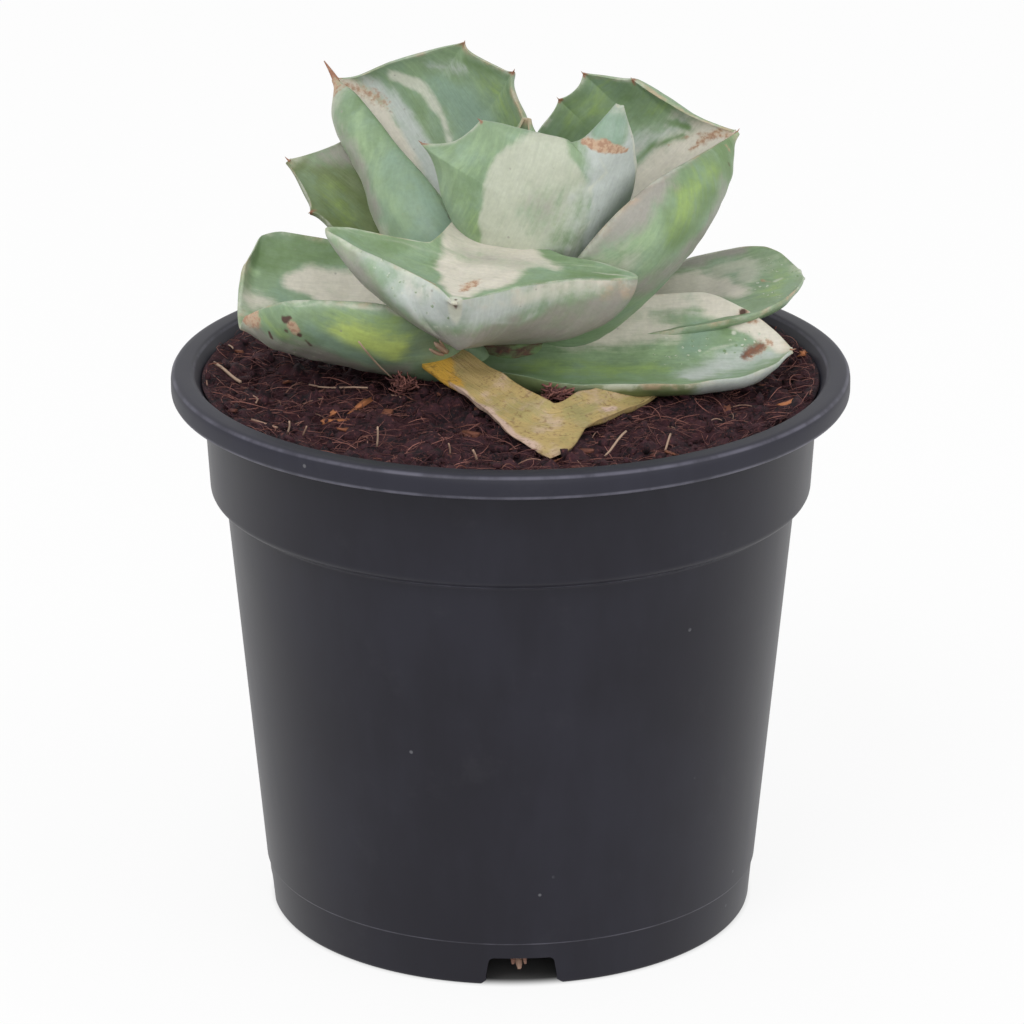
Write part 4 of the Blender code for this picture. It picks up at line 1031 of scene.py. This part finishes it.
def skin_finish(look):
    """Waxy skin: plain green with the marked finishes over it, streaked along the leaf."""
    f = Finish("succulent_skin")
    grain = f.attribute("grain", "Vector")
    place = f.place()
    streaks = f.noise(f.stretched(grain, (1.0, 0.16, 1.0)), 0.85, detail=5.0, roughness=0.62)
    threads = f.noise(f.stretched(grain, (1.0, 0.10, 1.0)), 3.2, detail=3.0)
    blotches = f.noises(place, 330.0, detail=5.0, roughness=0.6)
    small = f.noises(place, 1300.0, detail=3.0, roughness=0.6)
    ragged = f.plus(f.times(blotches[0], 0.6), f.times(streaks, 0.6))
    flecked = f.plus(f.times(blotches[1], 0.5), f.times(small[0], 0.7))

    def coat(base, finish, rough_by=ragged):
        marked = f.attribute(finish)
        uneven = f.times(f.maths("SUBTRACT", rough_by, 0.6), f.shifted(marked, 0.0, 0.3, 0.0, 1.3))
        amount = f.shifted(f.plus(marked, uneven), 0.1, 0.9)
        return f.mixed(amount, base, getattr(look, finish)), amount

    film = f.noises(place, 120.0, detail=7.0, roughness=0.62)
    colour = f.mixed(f.shifted(film[0], 0.42, 0.62, 0.0, 0.45), look.green, look.blue)
    colour = f.mixed(f.shifted(film[1], 0.48, 0.66, 0.0, 0.5), colour, look.deep)
    colour = f.mixed(f.shifted(streaks, 0.45, 0.68, 0.0, 0.4), colour, look.fresh)
    amounts = {}
    for finish in (*COVERS, "line"):
        colour, amounts[finish] = coat(colour, finish)
    tone = f.times(f.scaled(threads, 0.22, 0.89), f.scaled(small[1], 0.30, 0.85))
    colour = f.node("VectorMath", {0: colour, "Scale": tone}, operation="SCALE")
    worn = f.times(f.attribute("margin"), f.shifted(blotches[2], 0.42, 0.62, 0.15, 0.7))
    colour = f.mixed(worn, colour, f.mixed(f.shifted(film[2], 0.45, 0.6), look.line, look.scar))
    dot = f.times(f.shifted(f.cells(place, 900.0), 0.34, 0.2), f.attribute("speckle"))
    dot = f.times(dot, f.shifted(blotches[1], 0.45, 0.55))
    colour = f.mixed(dot, colour, f.mixed(f.shifted(small[2], 0.45, 0.55), look.deep, look.line))
    rare = f.times(f.shifted(f.cells(place, 360.0), 0.1, 0.06), f.shifted(blotches[0], 0.5, 0.6))
    colour = f.mixed(f.times(rare, 0.7), colour, look.dusk)
    scarred = f.mixed(f.times(f.shifted(small[0], 0.45, 0.62), 0.55), look.scar, look.rust)
    scar = f.shifted(f.scaled(f.maths("SUBTRACT", flecked, 0.6), 1.8, f.attribute("scar")), 0.25, 0.95)
    colour = f.mixed(scar, colour, scarred)
    colour, pit = coat(colour, "pit", flecked)
    colour, _ = coat(colour, "rust", flecked)
    waxed = f.most(amounts["bloom"], f.most(amounts["wax"], amounts["blush"]))
    rough = f.scaled(waxed, 0.10, f.scaled(streaks, 0.12, 0.42))
    rough = f.scaled(f.most(scar, pit), 0.25, rough)
    height = f.scaled(scar, f.maths("SUBTRACT", small[0], 0.2), threads)
    height = f.scaled(pit, -0.8, height)
    normal = f.bump(f.plus(streaks, f.times(small[1], 0.3)), 0.12, 0.35)
    f.set(Base_Color=colour, Roughness=rough, Normal=f.bump(height, 0.09, 0.5, normal), Specular_IOR_Level=0.45,
          Subsurface_Weight=0.06, Subsurface_Radius=(0.8, 1.0, 0.4), Subsurface_Scale=1.5 * MM)
    return f.material


class MakeLeaves(bpy.types.Operator):
    """Grow the fleshy leaves, from the heart outwards, with their marks"""

    bl_idname = "succulent.leaves"
    bl_label = "Living leaves"

    def execute(self, context):
        look = context.scene.succulent_leaves
        material = skin_finish(look)
        for name, leaf in LEAVES.items():
            if name == "dead_leaf":
                continue
            share = 0.5 if name in HIDDEN_LEAVES else 1.0
            mesh = leaf_mesh(name, leaf, int(look.rows * share), int(look.columns * share), look.waviness,
                             SKIN_FINISHES)
            add_piece(name + "_skin", mesh, material, [name])
        return {"FINISHED"}


def dead_finish(look):
    """Papery withered skin: straw yellow, wrinkled along its length, stained and bleached at the rim."""
    f = Finish("withered_skin")
    grain = f.attribute("grain", "Vector")
    place = f.place()
    veins = f.noise(f.stretched(grain, (1.0, 0.12, 1.0)), 1.6, detail=4.0, roughness=0.6, distortion=0.3)
    blotches = f.noises(place, 300.0, detail=5.0, roughness=0.65)
    small = f.noises(place, 1500.0, detail=3.0)
    ragged = f.plus(f.times(blotches[0], 0.6), f.times(veins, 0.6))
    patches = f.noises(place, 190.0, detail=6.0, roughness=0.65)
    colour = f.mixed(f.shifted(patches[0], 0.46, 0.62, 0.0, 0.6), look.straw, look.olive)
    colour = f.mixed(f.shifted(patches[1], 0.50, 0.68, 0.0, 0.6), colour, look.pale)
    for finish in ("olive", "orange", "pale", "stain"):
        amount = f.scaled(f.maths("SUBTRACT", ragged, 0.6), 1.5, f.attribute(finish))
        colour = f.mixed(f.shifted(amount, 0.25, 0.75), colour, getattr(look, finish))
    brown = f.times(f.shifted(small[0], 0.50, 0.66), f.shifted(blotches[1], 0.40, 0.60))
    colour = f.mixed(f.times(brown, 0.6), colour, look.stain)
    colour = f.mixed(f.times(f.attribute("margin"), 0.35), colour, look.stain)
    bleached = f.times(f.shifted(veins, 0.56, 0.72), 0.2)
    colour = f.mixed(bleached, colour, look.pale)
    normal = f.bump(veins, 0.5, 0.7)
    f.set(Base_Color=colour, Roughness=f.scaled(blotches[2], 0.25, 0.48),
          Normal=f.bump(f.plus(small[1], blotches[0]), 0.15, 0.6, normal), Specular_IOR_Level=0.35)
    return f.material


class MakeDeadLeaf(bpy.types.Operator):
    """Lay the folded dead leaf on the soil and the rim"""

    bl_idname = "succulent.dead_leaf"
    bl_label = "Dead leaf"

    def execute(self, context):
        look = context.scene.succulent_dead_leaf
        mesh = leaf_mesh("dead_leaf", LEAVES["dead_leaf"], look.rows, look.columns, look.wrinkle, DEAD_FINISHES)
        points = coordinates(mesh)
        creases = lattice_noise(points * (0.35, 0.35, 1.0), 1.5, 51)
        move_to(mesh, points + point_vectors(mesh, "normal") * (look.wrinkle / MM * creases)[:, None])
        add_piece("dead_leaf_skin", mesh, dead_finish(look), ["dead_leaf"])
        return {"FINISHED"}


# Length, bow and radius at the foot of the spines.
LONG_SPINE = (3.4, (-0.6, 0, 0.5), 0.75)
TIP_SPINE = (1.0, (0, 0, 0.2), 0.25)
TOOTH_SPINE = (0.6, (0, 0, 0.1), 0.15)
SPINED_TIPS = ("right_tall_leaf", "right_low_leaf", "left_back_leaf", "back_leaf", "right_rear_leaf")


def leaf_tip(name):
    """The tip of a leaf and the direction it points in."""
    leaf = LEAVES[name]
    s = np.array([1.0])
    ahead = leaf_frame(leaf, s)[3][0]
    return leaf_points(leaf, s, np.array([0.0]))[0], ahead


def tooth_point(leaf, side, at):
    """The point of a marginal tooth and the direction that it points in."""
    s = np.array([at, at])
    v = np.array([0.94, 1.0]) * (1 if side == "left" else -1)
    near, end = leaf_points(leaf, s, v)
    return end, (end - near) / np.linalg.norm(end - near)


def spine_path(start, direction, length, bow, stations=7):
    """Points of a thin spine from just inside the skin, bending by bow towards its point."""
    t = np.linspace(-0.15, 1, stations)[:, None]
    direction = np.array(direction, float) / np.linalg.norm(direction)
    return np.array(start) + direction * length * t + np.array(bow) * np.sign(t) * t**2


def spine_finish(look):
    """Dry red-brown spines with paler points."""
    f = Finish("spine")
    place = f.place()
    mix = f.shifted(f.noise(place, 900.0, detail=3.0), 0.4, 0.65)
    colour = f.mixed(f.times(mix, 0.4), look.rust, look.scar)
    f.set(Base_Color=colour, Roughness=0.55, Normal=f.bump(mix, 0.05, 0.5))
    return f.material


class MakeSpines(bpy.types.Operator):
    """Add the red-brown spines at the tips and teeth of the leaves"""

    bl_idname = "succulent.spines"
    bl_label = "Spines"

    def execute(self, context):
        tip, ahead = leaf_tip("left_tall_leaf")
        ends = [(tip, ahead + (-0.35, 0, 0.9), *LONG_SPINE)]
        ends += [(*leaf_tip(name), *TIP_SPINE) for name in SPINED_TIPS]
        ends += [(*tooth_point(leaf, side, at), *TOOTH_SPINE) for name, leaf in LEAVES.items()
                 if name != "dead_leaf" for side, at, _ in teeth(leaf)]
        paths = np.array([spine_path(end, outward, length, bow) for end, outward, length, bow, _ in ends])
        radii = np.outer([end[-1] for end in ends], np.linspace(1, 0.12, paths.shape[1]))
        mesh = strands("leaf_spines", 8, paths, radii)
        add_piece("leaf_spines", mesh, spine_finish(context.scene.succulent_leaves))
        return {"FINISHED"}


# ---------------------------------------------------------------- stem and soil


def soil_height(x, y):
    """Height of the soil surface in millimetres, with its lumps."""
    distance = np.hypot(x, y)
    dome = SOIL_CENTRE + (SOIL_EDGE - SOIL_CENTRE) * (distance / SOIL_RADIUS) ** 2
    lumps = (0.40 * np.sin(0.33 * x + 0.19 * y + 0.8) + 0.35 * np.sin(0.21 * x - 0.41 * y + 2.1)
             + 0.25 * np.sin(0.62 * x + 0.55 * y + 4.0))
    fade = np.clip((COLLAR_TOP_RADIUS - WALL - distance) / SOIL_LUMP_FADE, 0, 1)
    return dome + SOIL_BANK * smooth_step(SOIL_BANK_START, SOIL_RIM, distance) + SOIL_LUMP * lumps * fade


def soil_relief(x, y):
    """Fine unevenness of the soil in millimetres."""
    flat = np.stack([x, y, np.zeros(len(x))], -1)
    return (1.5 * lattice_noise(flat, 4.2, 3) + 1.4 * lattice_noise(flat, 1.9, 5)
            + 0.7 * lattice_noise(flat, 0.9, 8)) * np.clip((SOIL_RIM - np.hypot(x, y)) / 1.5, 0, 1)


def soil_finish(name, look, size):
    """Damp crumbly matter: painted shade in the hollows, red-brown crumbs and a few lighter grains."""
    f = Finish(name)
    place = f.place()
    crumbs = f.noises(place, size, detail=6.0, roughness=0.7)
    fine = f.noises(place, size * 4)
    # Painted shade: the low places between the crumbs are near black.
    colour = f.mixed(f.shifted(crumbs[0], 0.36, 0.60), look.hollow_shade, look.earth)
    colour = f.mixed(f.times(f.shifted(fine[0], 0.58, 0.72), 0.6), colour, look.fibre)
    height = f.plus(crumbs[0], f.times(fine[1], 0.4))
    f.set(Base_Color=colour, Roughness=f.scaled(fine[2], -0.4, 1.05),
          Normal=f.bump(height, 0.6, 0.8), Specular_IOR_Level=0.3)
    return f.material


def fibre_finish(name, dark, light):
    """Dry fibres, each a little darker or lighter than the next by its own tone."""
    f = Finish(name)
    streak = f.noise(f.place(), 1800.0, detail=2.0)
    tone = f.scaled(streak, 0.3, f.attribute("tone"))
    f.set(Base_Color=f.mixed(f.shifted(tone, 0.1, 1.2), dark, light), Roughness=0.72,
          Normal=f.bump(streak, 0.05, 0.4), Specular_IOR_Level=0.3)
    return f.material


# Straws in view: x, y, x at the end, y at the end, rise, bow and radius.
STRAWS = (
    (-51.4, 5.0, -46.4, -4.0, 0.8, 0.3, 0.3),
    (-49.4, 15.0, -48.4, 10.0, 1.6, 0.2, 0.16),
    (-44.6, -9.0, -43.2, -16.0, 0.8, 0.8, 0.16),
    (15.6, -40.5, 19.2, -34.5, 1.2, 0.0, 0.2),
    (25.6, -38.0, 26.6, -33.5, 0.8, 0.0, 0.2),
    (-22.2, -37.0, -22.0, -37.6, 3.8, 0.1, 0.16),
    (-37.2, -32.4, -36.8, -33.0, 2.4, 0.2, 0.16),
    (-34.6, -32.6, -33.9, -33.4, 2.0, 0.0, 0.14),
    (-10.0, -41.0, -10.2, -41.6, 2.2, 0.1, 0.15),
    (-5.5, -44.4, -6.2, -44.9, 2.2, 0.2, 0.2),
    (-34.5, -6.0, -24.3, -12.3, 0.5, -0.8, 0.16),
    (-20.4, -13.5, -17.9, -15.4, 0.3, 0.2, 0.2),
    (-43.5, -25.0, -39.0, -29.0, 0.2, 0.3, 0.2),
)
# Thin twigs, torn tissue and roots clear of the soil: start, end, sag at the middle, radius and paleness.
TWIGS = (
    ((-25.4, -24.0, 109.8), (-19.6, -11.5, 98.8), 0.5, 0.17, 1.0),
    ((-10.8, -16.5, 105.6), (-12.7, -20.5, 108.5), 0.1, 0.55, 1.0),
    ((-11.4, -16.8, 105.2), (-13.6, -20.5, 107.4), 0.2, 0.35, 0.8),
    ((-11.0, -16.5, 105.8), (-11.9, -20.5, 108.9), 0.0, 0.28, 1.0),
    ((0.9, -34.6, 6.4), (1.5, -40.0, 2.2), 0.3, 0.85, 0.55),
    ((0.2, -34.0, 6.4), (0.4, -39.6, 2.9), 0.2, 0.6, 0.3),
    ((1.9, -34.2, 6.4), (2.5, -39.8, 3.0), -0.2, 0.55, 0.4),
)
# Chips in view: x, y, half length, half width, half thickness and turn.
CHIPS = (
    (-29.0, -24.0, 2.4, 0.6, 0.4, 24),
    (-25.8, -19.6, 2.0, 0.5, 0.35, 40),
    (-29.6, -20.0, 1.2, 0.4, 0.3, 70),
    (51.0, 10.4, 2.0, 0.5, 0.35, 80),
    (47.0, -16.0, 1.4, 0.8, 0.3, 10),
)
# Clumps of crumbs and short fibres: centre, half sizes and number.
CLUMPS = (
    ((7.9, -19.4, 98.7), (2.8, 1.7, 1.5), 120),
    ((-18.2, -12.0, 98.6), (2.2, 1.8, 1.7), 80),
)


class MakeSoil(bpy.types.Operator):
    """Fill the pot with soil, crumbs, coir fibres, straws and wood chips"""

    bl_idname = "succulent.soil"
    bl_label = "Soil"

    def execute(self, context):
        look = context.scene.succulent_soil
        rng = np.random.default_rng(41)
        self.bed(look)
        self.crumbs(look, rng)
        self.fibres(look, rng)
        self.straws(look, rng)
        self.clumps(look, rng)
        self.chips(look, rng)
        return {"FINISHED"}

    def bed(self, look):
        dome = [(SOIL_RIM * i / SOIL_RINGS, SOIL_CENTRE) for i in range(SOIL_RINGS + 1)]
        side = [(radius - 0.08, height) for radius, height, _ in reversed(pot_inside())]
        floor = side.pop()
        profile = dome + side + [floor, (0.0, floor[1] + 0.1)]
        mesh = mesh_from(turned(profile, SOIL_STEPS), "coir_soil")
        points = coordinates(mesh)
        top = points[:, 2] >= side[0][1] + 1.0
        x, y = points[top, 0], points[top, 1]
        points[top, 2] = soil_height(x, y) + soil_relief(x, y)
        move_to(mesh, points)
        add_piece("coir_soil", mesh, soil_finish("coir_soil", look, 420.0), ["soil"])

    def scattered(self, rng, count):
        """Random places on the soil, as x and y."""
        distance = SCATTER_RADIUS * np.sqrt(rng.random(count))
        angle = rng.random(count) * 2 * math.pi
        return distance * np.cos(angle), distance * np.sin(angle)

    def crumbs(self, look, rng):
        bm = bmesh.new()
        bmesh.ops.create_icosphere(bm, subdivisions=1, radius=1.0)
        template = mesh_from(bm, "soil_crumbs")
        unit = point_vectors(template, "co")
        x, y = self.scattered(rng, look.crumbs)
        z = soil_height(x, y) + soil_relief(x, y)
        size = 0.35 + 1.0 * rng.random(look.crumbs) ** 2.5
        shape = unit[None] * (1 + 0.35 * rng.standard_normal((look.crumbs, len(unit), 1)))
        shape *= size[:, None, None] * rng.uniform(0.5, 1.25, (look.crumbs, 1, 3))
        mesh = copies(template, shape + np.stack([x, y, z + 0.15 * size], -1)[:, None])
        add_piece("soil_crumbs", mesh, soil_finish("soil_crumb", look, 700.0))

    def laid(self, rng, count, longest, bending, lifting):
        """Random paths that lie on the soil, each with its own length, heading, bend and lift."""
        x, y = self.scattered(rng, count)
        length = rng.uniform(1.5, longest, count)
        heading = rng.uniform(0, 2 * math.pi, count)
        bend = rng.normal(0, bending, count)
        lift = rng.uniform(0, lifting, count) * length
        t = np.linspace(0, 1, STATIONS)
        angle = heading[:, None] + bend[:, None] * (t - 0.5)
        step = length[:, None] / (STATIONS - 1)
        px = x[:, None] + np.cumsum(np.cos(angle) * step, 1)
        py = y[:, None] + np.cumsum(np.sin(angle) * step, 1)
        reach = np.hypot(px, py)
        inward = np.minimum(1.0, SCATTER_RADIUS / np.maximum(reach, 1.0))
        px, py = px * inward, py * inward
        pz = soil_height(px, py) + lift[:, None] * np.sin(math.pi * t) + 0.25
        return np.stack([px, py, pz], -1)

    def fibres(self, look, rng):
        count = look.fibres
        paths = self.laid(rng, count, 9.0, 1.3, 0.16)
        radii = np.outer(rng.uniform(0.03, 0.085, count), (0.7, 1, 1, 1, 0.9, 0.4))
        mesh = strands("coir_fibres", 3, paths, radii, rng.random(count) ** 3)
        add_piece("coir_fibres", mesh, fibre_finish("coir_fibre", look.earth, look.fibre_light))

    def straws(self, look, rng):
        """Pale straws: a scatter of small ones, and the larger ones that lie in view."""
        count = look.straws
        paths = self.laid(rng, count, 6.0, 0.6, 0.25)
        radii = np.repeat(rng.uniform(0.05, 0.11, count)[:, None], STATIONS, 1)
        placed = [self.placed_straw(*straw) for *straw, _ in STRAWS]
        thick = [[radius] * STATIONS for *_, radius in STRAWS]
        hung = [self.twig(start, end, sag) for start, end, sag, _, _ in TWIGS]
        sturdy = np.outer([radius for *_, radius, _ in TWIGS], (0.9, 1, 1, 0.95, 0.8, 0.45))
        tones = [rng.uniform(0.0, 0.6, count), rng.uniform(0.5, 0.9, len(STRAWS)), [tone for *_, tone in TWIGS]]
        mesh = strands("straws", 5, np.vstack([paths, placed, hung]), np.vstack([radii, thick, sturdy]),
                       np.concatenate(tones))
        add_piece("straws", mesh, fibre_finish("straw", look.fibre, look.straw))

    def placed_straw(self, x, y, x_end, y_end, lift, bow):
        t = np.linspace(0, 1, STATIONS)
        side = np.array([y - y_end, x_end - x]) / max(1e-6, math.hypot(x_end - x, y_end - y))
        px = x + (x_end - x) * t + side[0] * bow * np.sin(math.pi * t)
        py = y + (y_end - y) * t + side[1] * bow * np.sin(math.pi * t)
        return np.stack([px, py, soil_height(px, py) + 0.5 + lift * t], -1)

    def twig(self, start, end, sag):
        t = np.linspace(0, 1, STATIONS)[:, None]
        return np.array(start) * (1 - t) + np.array(end) * t - np.array([0, 0, sag]) * np.sin(math.pi * t)

    def clumps(self, look, rng):
        """Tangles of short fibres round a few crumbs, where the soil is heaped."""
        paths = []
        for centre, half, number in CLUMPS:
            for _ in range(number):
                place = rng.normal(0, 0.42, 3)
                turn = rng.normal(0, 1, 3)
                curl = rng.normal(0, 0.5, 3)
                t = np.linspace(-0.5, 0.5, STATIONS)[:, None]
                path = place + turn / np.linalg.norm(turn) * t * rng.uniform(0.5, 1.3) + curl * (0.25 - t**2)
                path = np.array(centre) + path * half
                path[:, 2] = np.maximum(path[:, 2], soil_height(path[:, 0], path[:, 1]))
                paths.append(path)
        radii = np.repeat(rng.uniform(0.08, 0.22, len(paths))[:, None], STATIONS, 1)
        mesh = strands("soil_clumps", 4, np.array(paths), radii, rng.uniform(0.15, 0.75, len(paths)))
        add_piece("soil_clumps", mesh, fibre_finish("clump_fibre", look.earth, look.fibre_light))

    def chips(self, look, rng):
        """Small flat chips of wood and bark, and the larger ones that lie in view."""
        bm = bmesh.new()
        bmesh.ops.create_cube(bm, size=2.0)
        bmesh.ops.subdivide_edges(bm, edges=bm.edges[:], cuts=1, use_grid_fill=True)
        template = mesh_from(bm, "wood_chips")
        unit = point_vectors(template, "co")
        count = look.chips
        x, y = self.scattered(rng, count)
        size = np.stack([rng.uniform(0.4, 1.4, count), rng.uniform(0.25, 0.7, count),
                         rng.uniform(0.1, 0.3, count)], -1)
        turn = rng.uniform(0, math.pi, count)
        tilt = rng.normal(0, 0.25, count)
        for chip, (*place, length, width, thick, heading) in enumerate(CHIPS):
            (x[chip], y[chip]), size[chip], turn[chip] = place, (length, width, thick), math.radians(heading)
        z = soil_height(x, y) + 0.5
        shape = unit[None] * (1 + 0.22 * rng.standard_normal((count, len(unit), 1))) * size[:, None]
        lx, ly, lz = shape[..., 0], shape[..., 1], shape[..., 2] + shape[..., 0] * np.tan(tilt)[:, None]
        points = np.stack([x[:, None] + lx * np.cos(turn)[:, None] - ly * np.sin(turn)[:, None],
                           y[:, None] + lx * np.sin(turn)[:, None] + ly * np.cos(turn)[:, None],
                           z[:, None] + lz], -1)
        mesh = copies(template, points)
        tones = rng.uniform(0.0, 0.5, count)
        tones[:len(CHIPS)] = 1.0
        add_value(mesh, "tone", np.repeat(tones, len(unit)))
        add_piece("wood_chips", mesh, fibre_finish("wood_chip", look.earth, look.chip))


def cork_finish(look):
    """Dry corky stem with ring scars, darkened green-brown as painted shade under the leaves."""
    f = Finish("stem_cork")
    place = f.place()
    rings = f.noise(f.stretched(place, (0.3, 0.3, 1.0)), 900.0, detail=4.0)
    rough = f.noise(place, 800.0, detail=4.0)
    # Painted shade: the cork is mixed from the dark pit brown and deep green, for the shade under the leaves.
    colour = f.mixed(f.shifted(rings, 0.38, 0.62), look.pit, look.deep)
    colour = f.mixed(f.times(f.shifted(rough, 0.5, 0.7), 0.35), colour, look.rust)
    f.set(Base_Color=colour, Roughness=0.85, Normal=f.bump(f.plus(rings, rough), 0.5, 0.8))
    return f.material


class MakeStem(bpy.types.Operator):
    """Turn the short corky stem with its leaf scars"""

    bl_idname = "succulent.stem"
    bl_label = "Stem"

    def execute(self, context):
        heights = np.linspace(STEM_ROOT, STEM_TOP, STEM_RINGS)
        share = (heights - STEM_ROOT) / (STEM_TOP - STEM_ROOT)
        radii = STEM_RADIUS * STEM_SWELL * np.sqrt(np.clip(1 - np.abs(2 * share - 1) ** STEM_FULLNESS, 0, 1))
        profile = list(zip(radii[::-1], heights[::-1]))
        mesh = mesh_from(turned(profile, STEM_STEPS), "corky_stem")
        points = coordinates(mesh)
        reach = np.hypot(points[:, 0], points[:, 1])
        grow = 1 + 0.05 * np.sin(points[:, 2] * 2.6) + 0.10 * lattice_noise(points, 3.5, 61)
        inside = np.clip(reach / 2, 0, 1)
        points[:, :2] *= (1 + (grow - 1) * inside)[:, None]
        move_to(mesh, points)
        add_piece("corky_stem", mesh, cork_finish(context.scene.succulent_leaves), ["stem"])
        return {"FINISHED"}


# ---------------------------------------------------------------- stage

# Lamps: name, share of the key light's power, size and place, in metres.
LAMPS = (
    ("key", 1.0, 1.1, (-0.7, -1.3, 1.7)),
    ("fill", 0.4, 1.4, (1.5, -0.7, 0.9)),
    ("front", 0.45, 1.3, (0.1, -1.8, 0.5)),
)
LAMP_AIM = Vector((0, 0, 0.09))
FLOOR_RADIUS = 4.0
FLOOR_WHITENESS = 0.88
# Shares of the foot's radius where the floor is dark and where it is white again.
SHADE_START = 0.93
SHADE_END = 1.02
CAMERA_SIDE = 0.24
CAMERA_AIM = 70.9


class MakeStage(bpy.types.Operator):
    """Lay the floor, hang the soft lights and place the camera"""

    bl_idname = "succulent.stage"
    bl_label = "Stage"

    def execute(self, context):
        look = context.scene.succulent_stage
        self.floor(look)
        self.sky(context.scene, look)
        for name, share, size, place in LAMPS:
            self.lamp(name, look.key * share, size, place)
        self.camera(context.scene, look)
        context.scene.view_settings.view_transform = "Standard"
        return {"FINISHED"}

    def floor(self, look):
        """A floor that looks almost plain white, and dark where the foot of the pot shades it."""
        bm = bmesh.new()
        bmesh.ops.create_circle(bm, cap_ends=True, segments=96, radius=FLOOR_RADIUS)
        floor = add_object("floor", mesh_from(bm, "floor"))
        f = Finish("pale_floor")
        f.set(Base_Color=look.floor, Roughness=0.9, Specular_IOR_Level=0.1)
        from_middle = f.node("VectorMath", {0: f.place()}, "Value", operation="LENGTH")
        beside = f.shifted(from_middle, SHADE_START * FOOT_RADIUS * MM, SHADE_END * FOOT_RADIUS * MM)
        white = f.node("Emission", {"Strength": beside})
        shown = f.node("MixShader", {0: f.times(f.seen(), FLOOR_WHITENESS), 1: f.shader.outputs[0], 2: white})
        f.feed(f.nodes["Material Output"].inputs["Surface"], shown)
        floor.data.materials.append(f.material)

    def sky(self, scene, look):
        f = Finish("white_studio", bpy.data.worlds)
        background = f.nodes["Background"].inputs
        f.feed(background["Color"], (1, 1, 1, 1))
        f.feed(background["Strength"], f.scaled(f.seen(), 1.0 - look.sky, look.sky))
        scene.world = f.material

    def lamp(self, name, power, size, place):
        light = bpy.data.lights.new(name, "AREA")
        light.shape = "DISK"
        light.size = size
        light.energy = power
        lamp = add_object(name, light)
        lamp.location = place
        lamp.rotation_euler = (LAMP_AIM - Vector(place)).to_track_quat("-Z", "Y").to_euler()

    def camera(self, scene, look):
        view = bpy.data.cameras.new("camera")
        view.lens = look.lens
        view.sensor_width = 36.0
        view.clip_start = 0.05
        view.clip_end = 20.0
        camera = add_object("camera", view)
        camera.location = (CAMERA_SIDE * MM, -look.distance * math.cos(look.elevation),
                           CAMERA_AIM * MM + look.distance * math.sin(look.elevation))
        camera.rotation_euler = (math.pi / 2 - look.elevation, 0, 0)
        scene.camera = camera


# ---------------------------------------------------------------- add-on


class SucculentPanel(bpy.types.Panel):
    """Lists the pieces of the succulent and their settings"""

    bl_idname = "VIEW3D_PT_succulent"
    bl_label = "Dying Succulent"
    bl_space_type = "VIEW_3D"
    bl_region_type = "UI"
    bl_category = "Succulent"

    def draw(self, context):
        for operator in PIECES:
            self.layout.operator(operator.bl_idname)
        for group in SETTINGS:
            box = self.layout.box()
            settings = getattr(context.scene, group)
            for name in settings.bl_rna.properties.keys():
                if name not in ("rna_type", "name"):
                    box.prop(settings, name)


PIECES = (MakePot, MakeSoil, MakeStem, MakeLeaves, MakeSpines, MakeDeadLeaf, MakeStage)
SETTINGS = {
    "succulent_pot": PotSettings,
    "succulent_soil": SoilSettings,
    "succulent_leaves": LeafSettings,
    "succulent_dead_leaf": DeadLeafSettings,
    "succulent_stage": StageSettings,
}


def register():
    for group in (*SETTINGS.values(), *PIECES, SucculentPanel):
        bpy.utils.register_class(group)
    for name, group in SETTINGS.items():
        setattr(bpy.types.Scene, name, bpy.props.PointerProperty(type=group))


def unregister():
    for name in SETTINGS:
        delattr(bpy.types.Scene, name)
    for group in reversed((*SETTINGS.values(), *PIECES, SucculentPanel)):
        bpy.utils.unregister_class(group)


def clear_startup():
    """Removes the objects of a new file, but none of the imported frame."""
    for name in ("Cube", "Light", "Camera"):
        old = bpy.data.objects.get(name)
        if old is not None:
            bpy.data.objects.remove(old, do_unlink=True)


def main():
    register()
    clear_startup()
    bpy.ops.succulent.pot()
    bpy.ops.succulent.soil()
    bpy.ops.succulent.stem()
    bpy.ops.succulent.leaves()
    bpy.ops.succulent.spines()
    bpy.ops.succulent.dead_leaf()
    bpy.ops.succulent.stage()


if __name__ == "__main__":
    main()
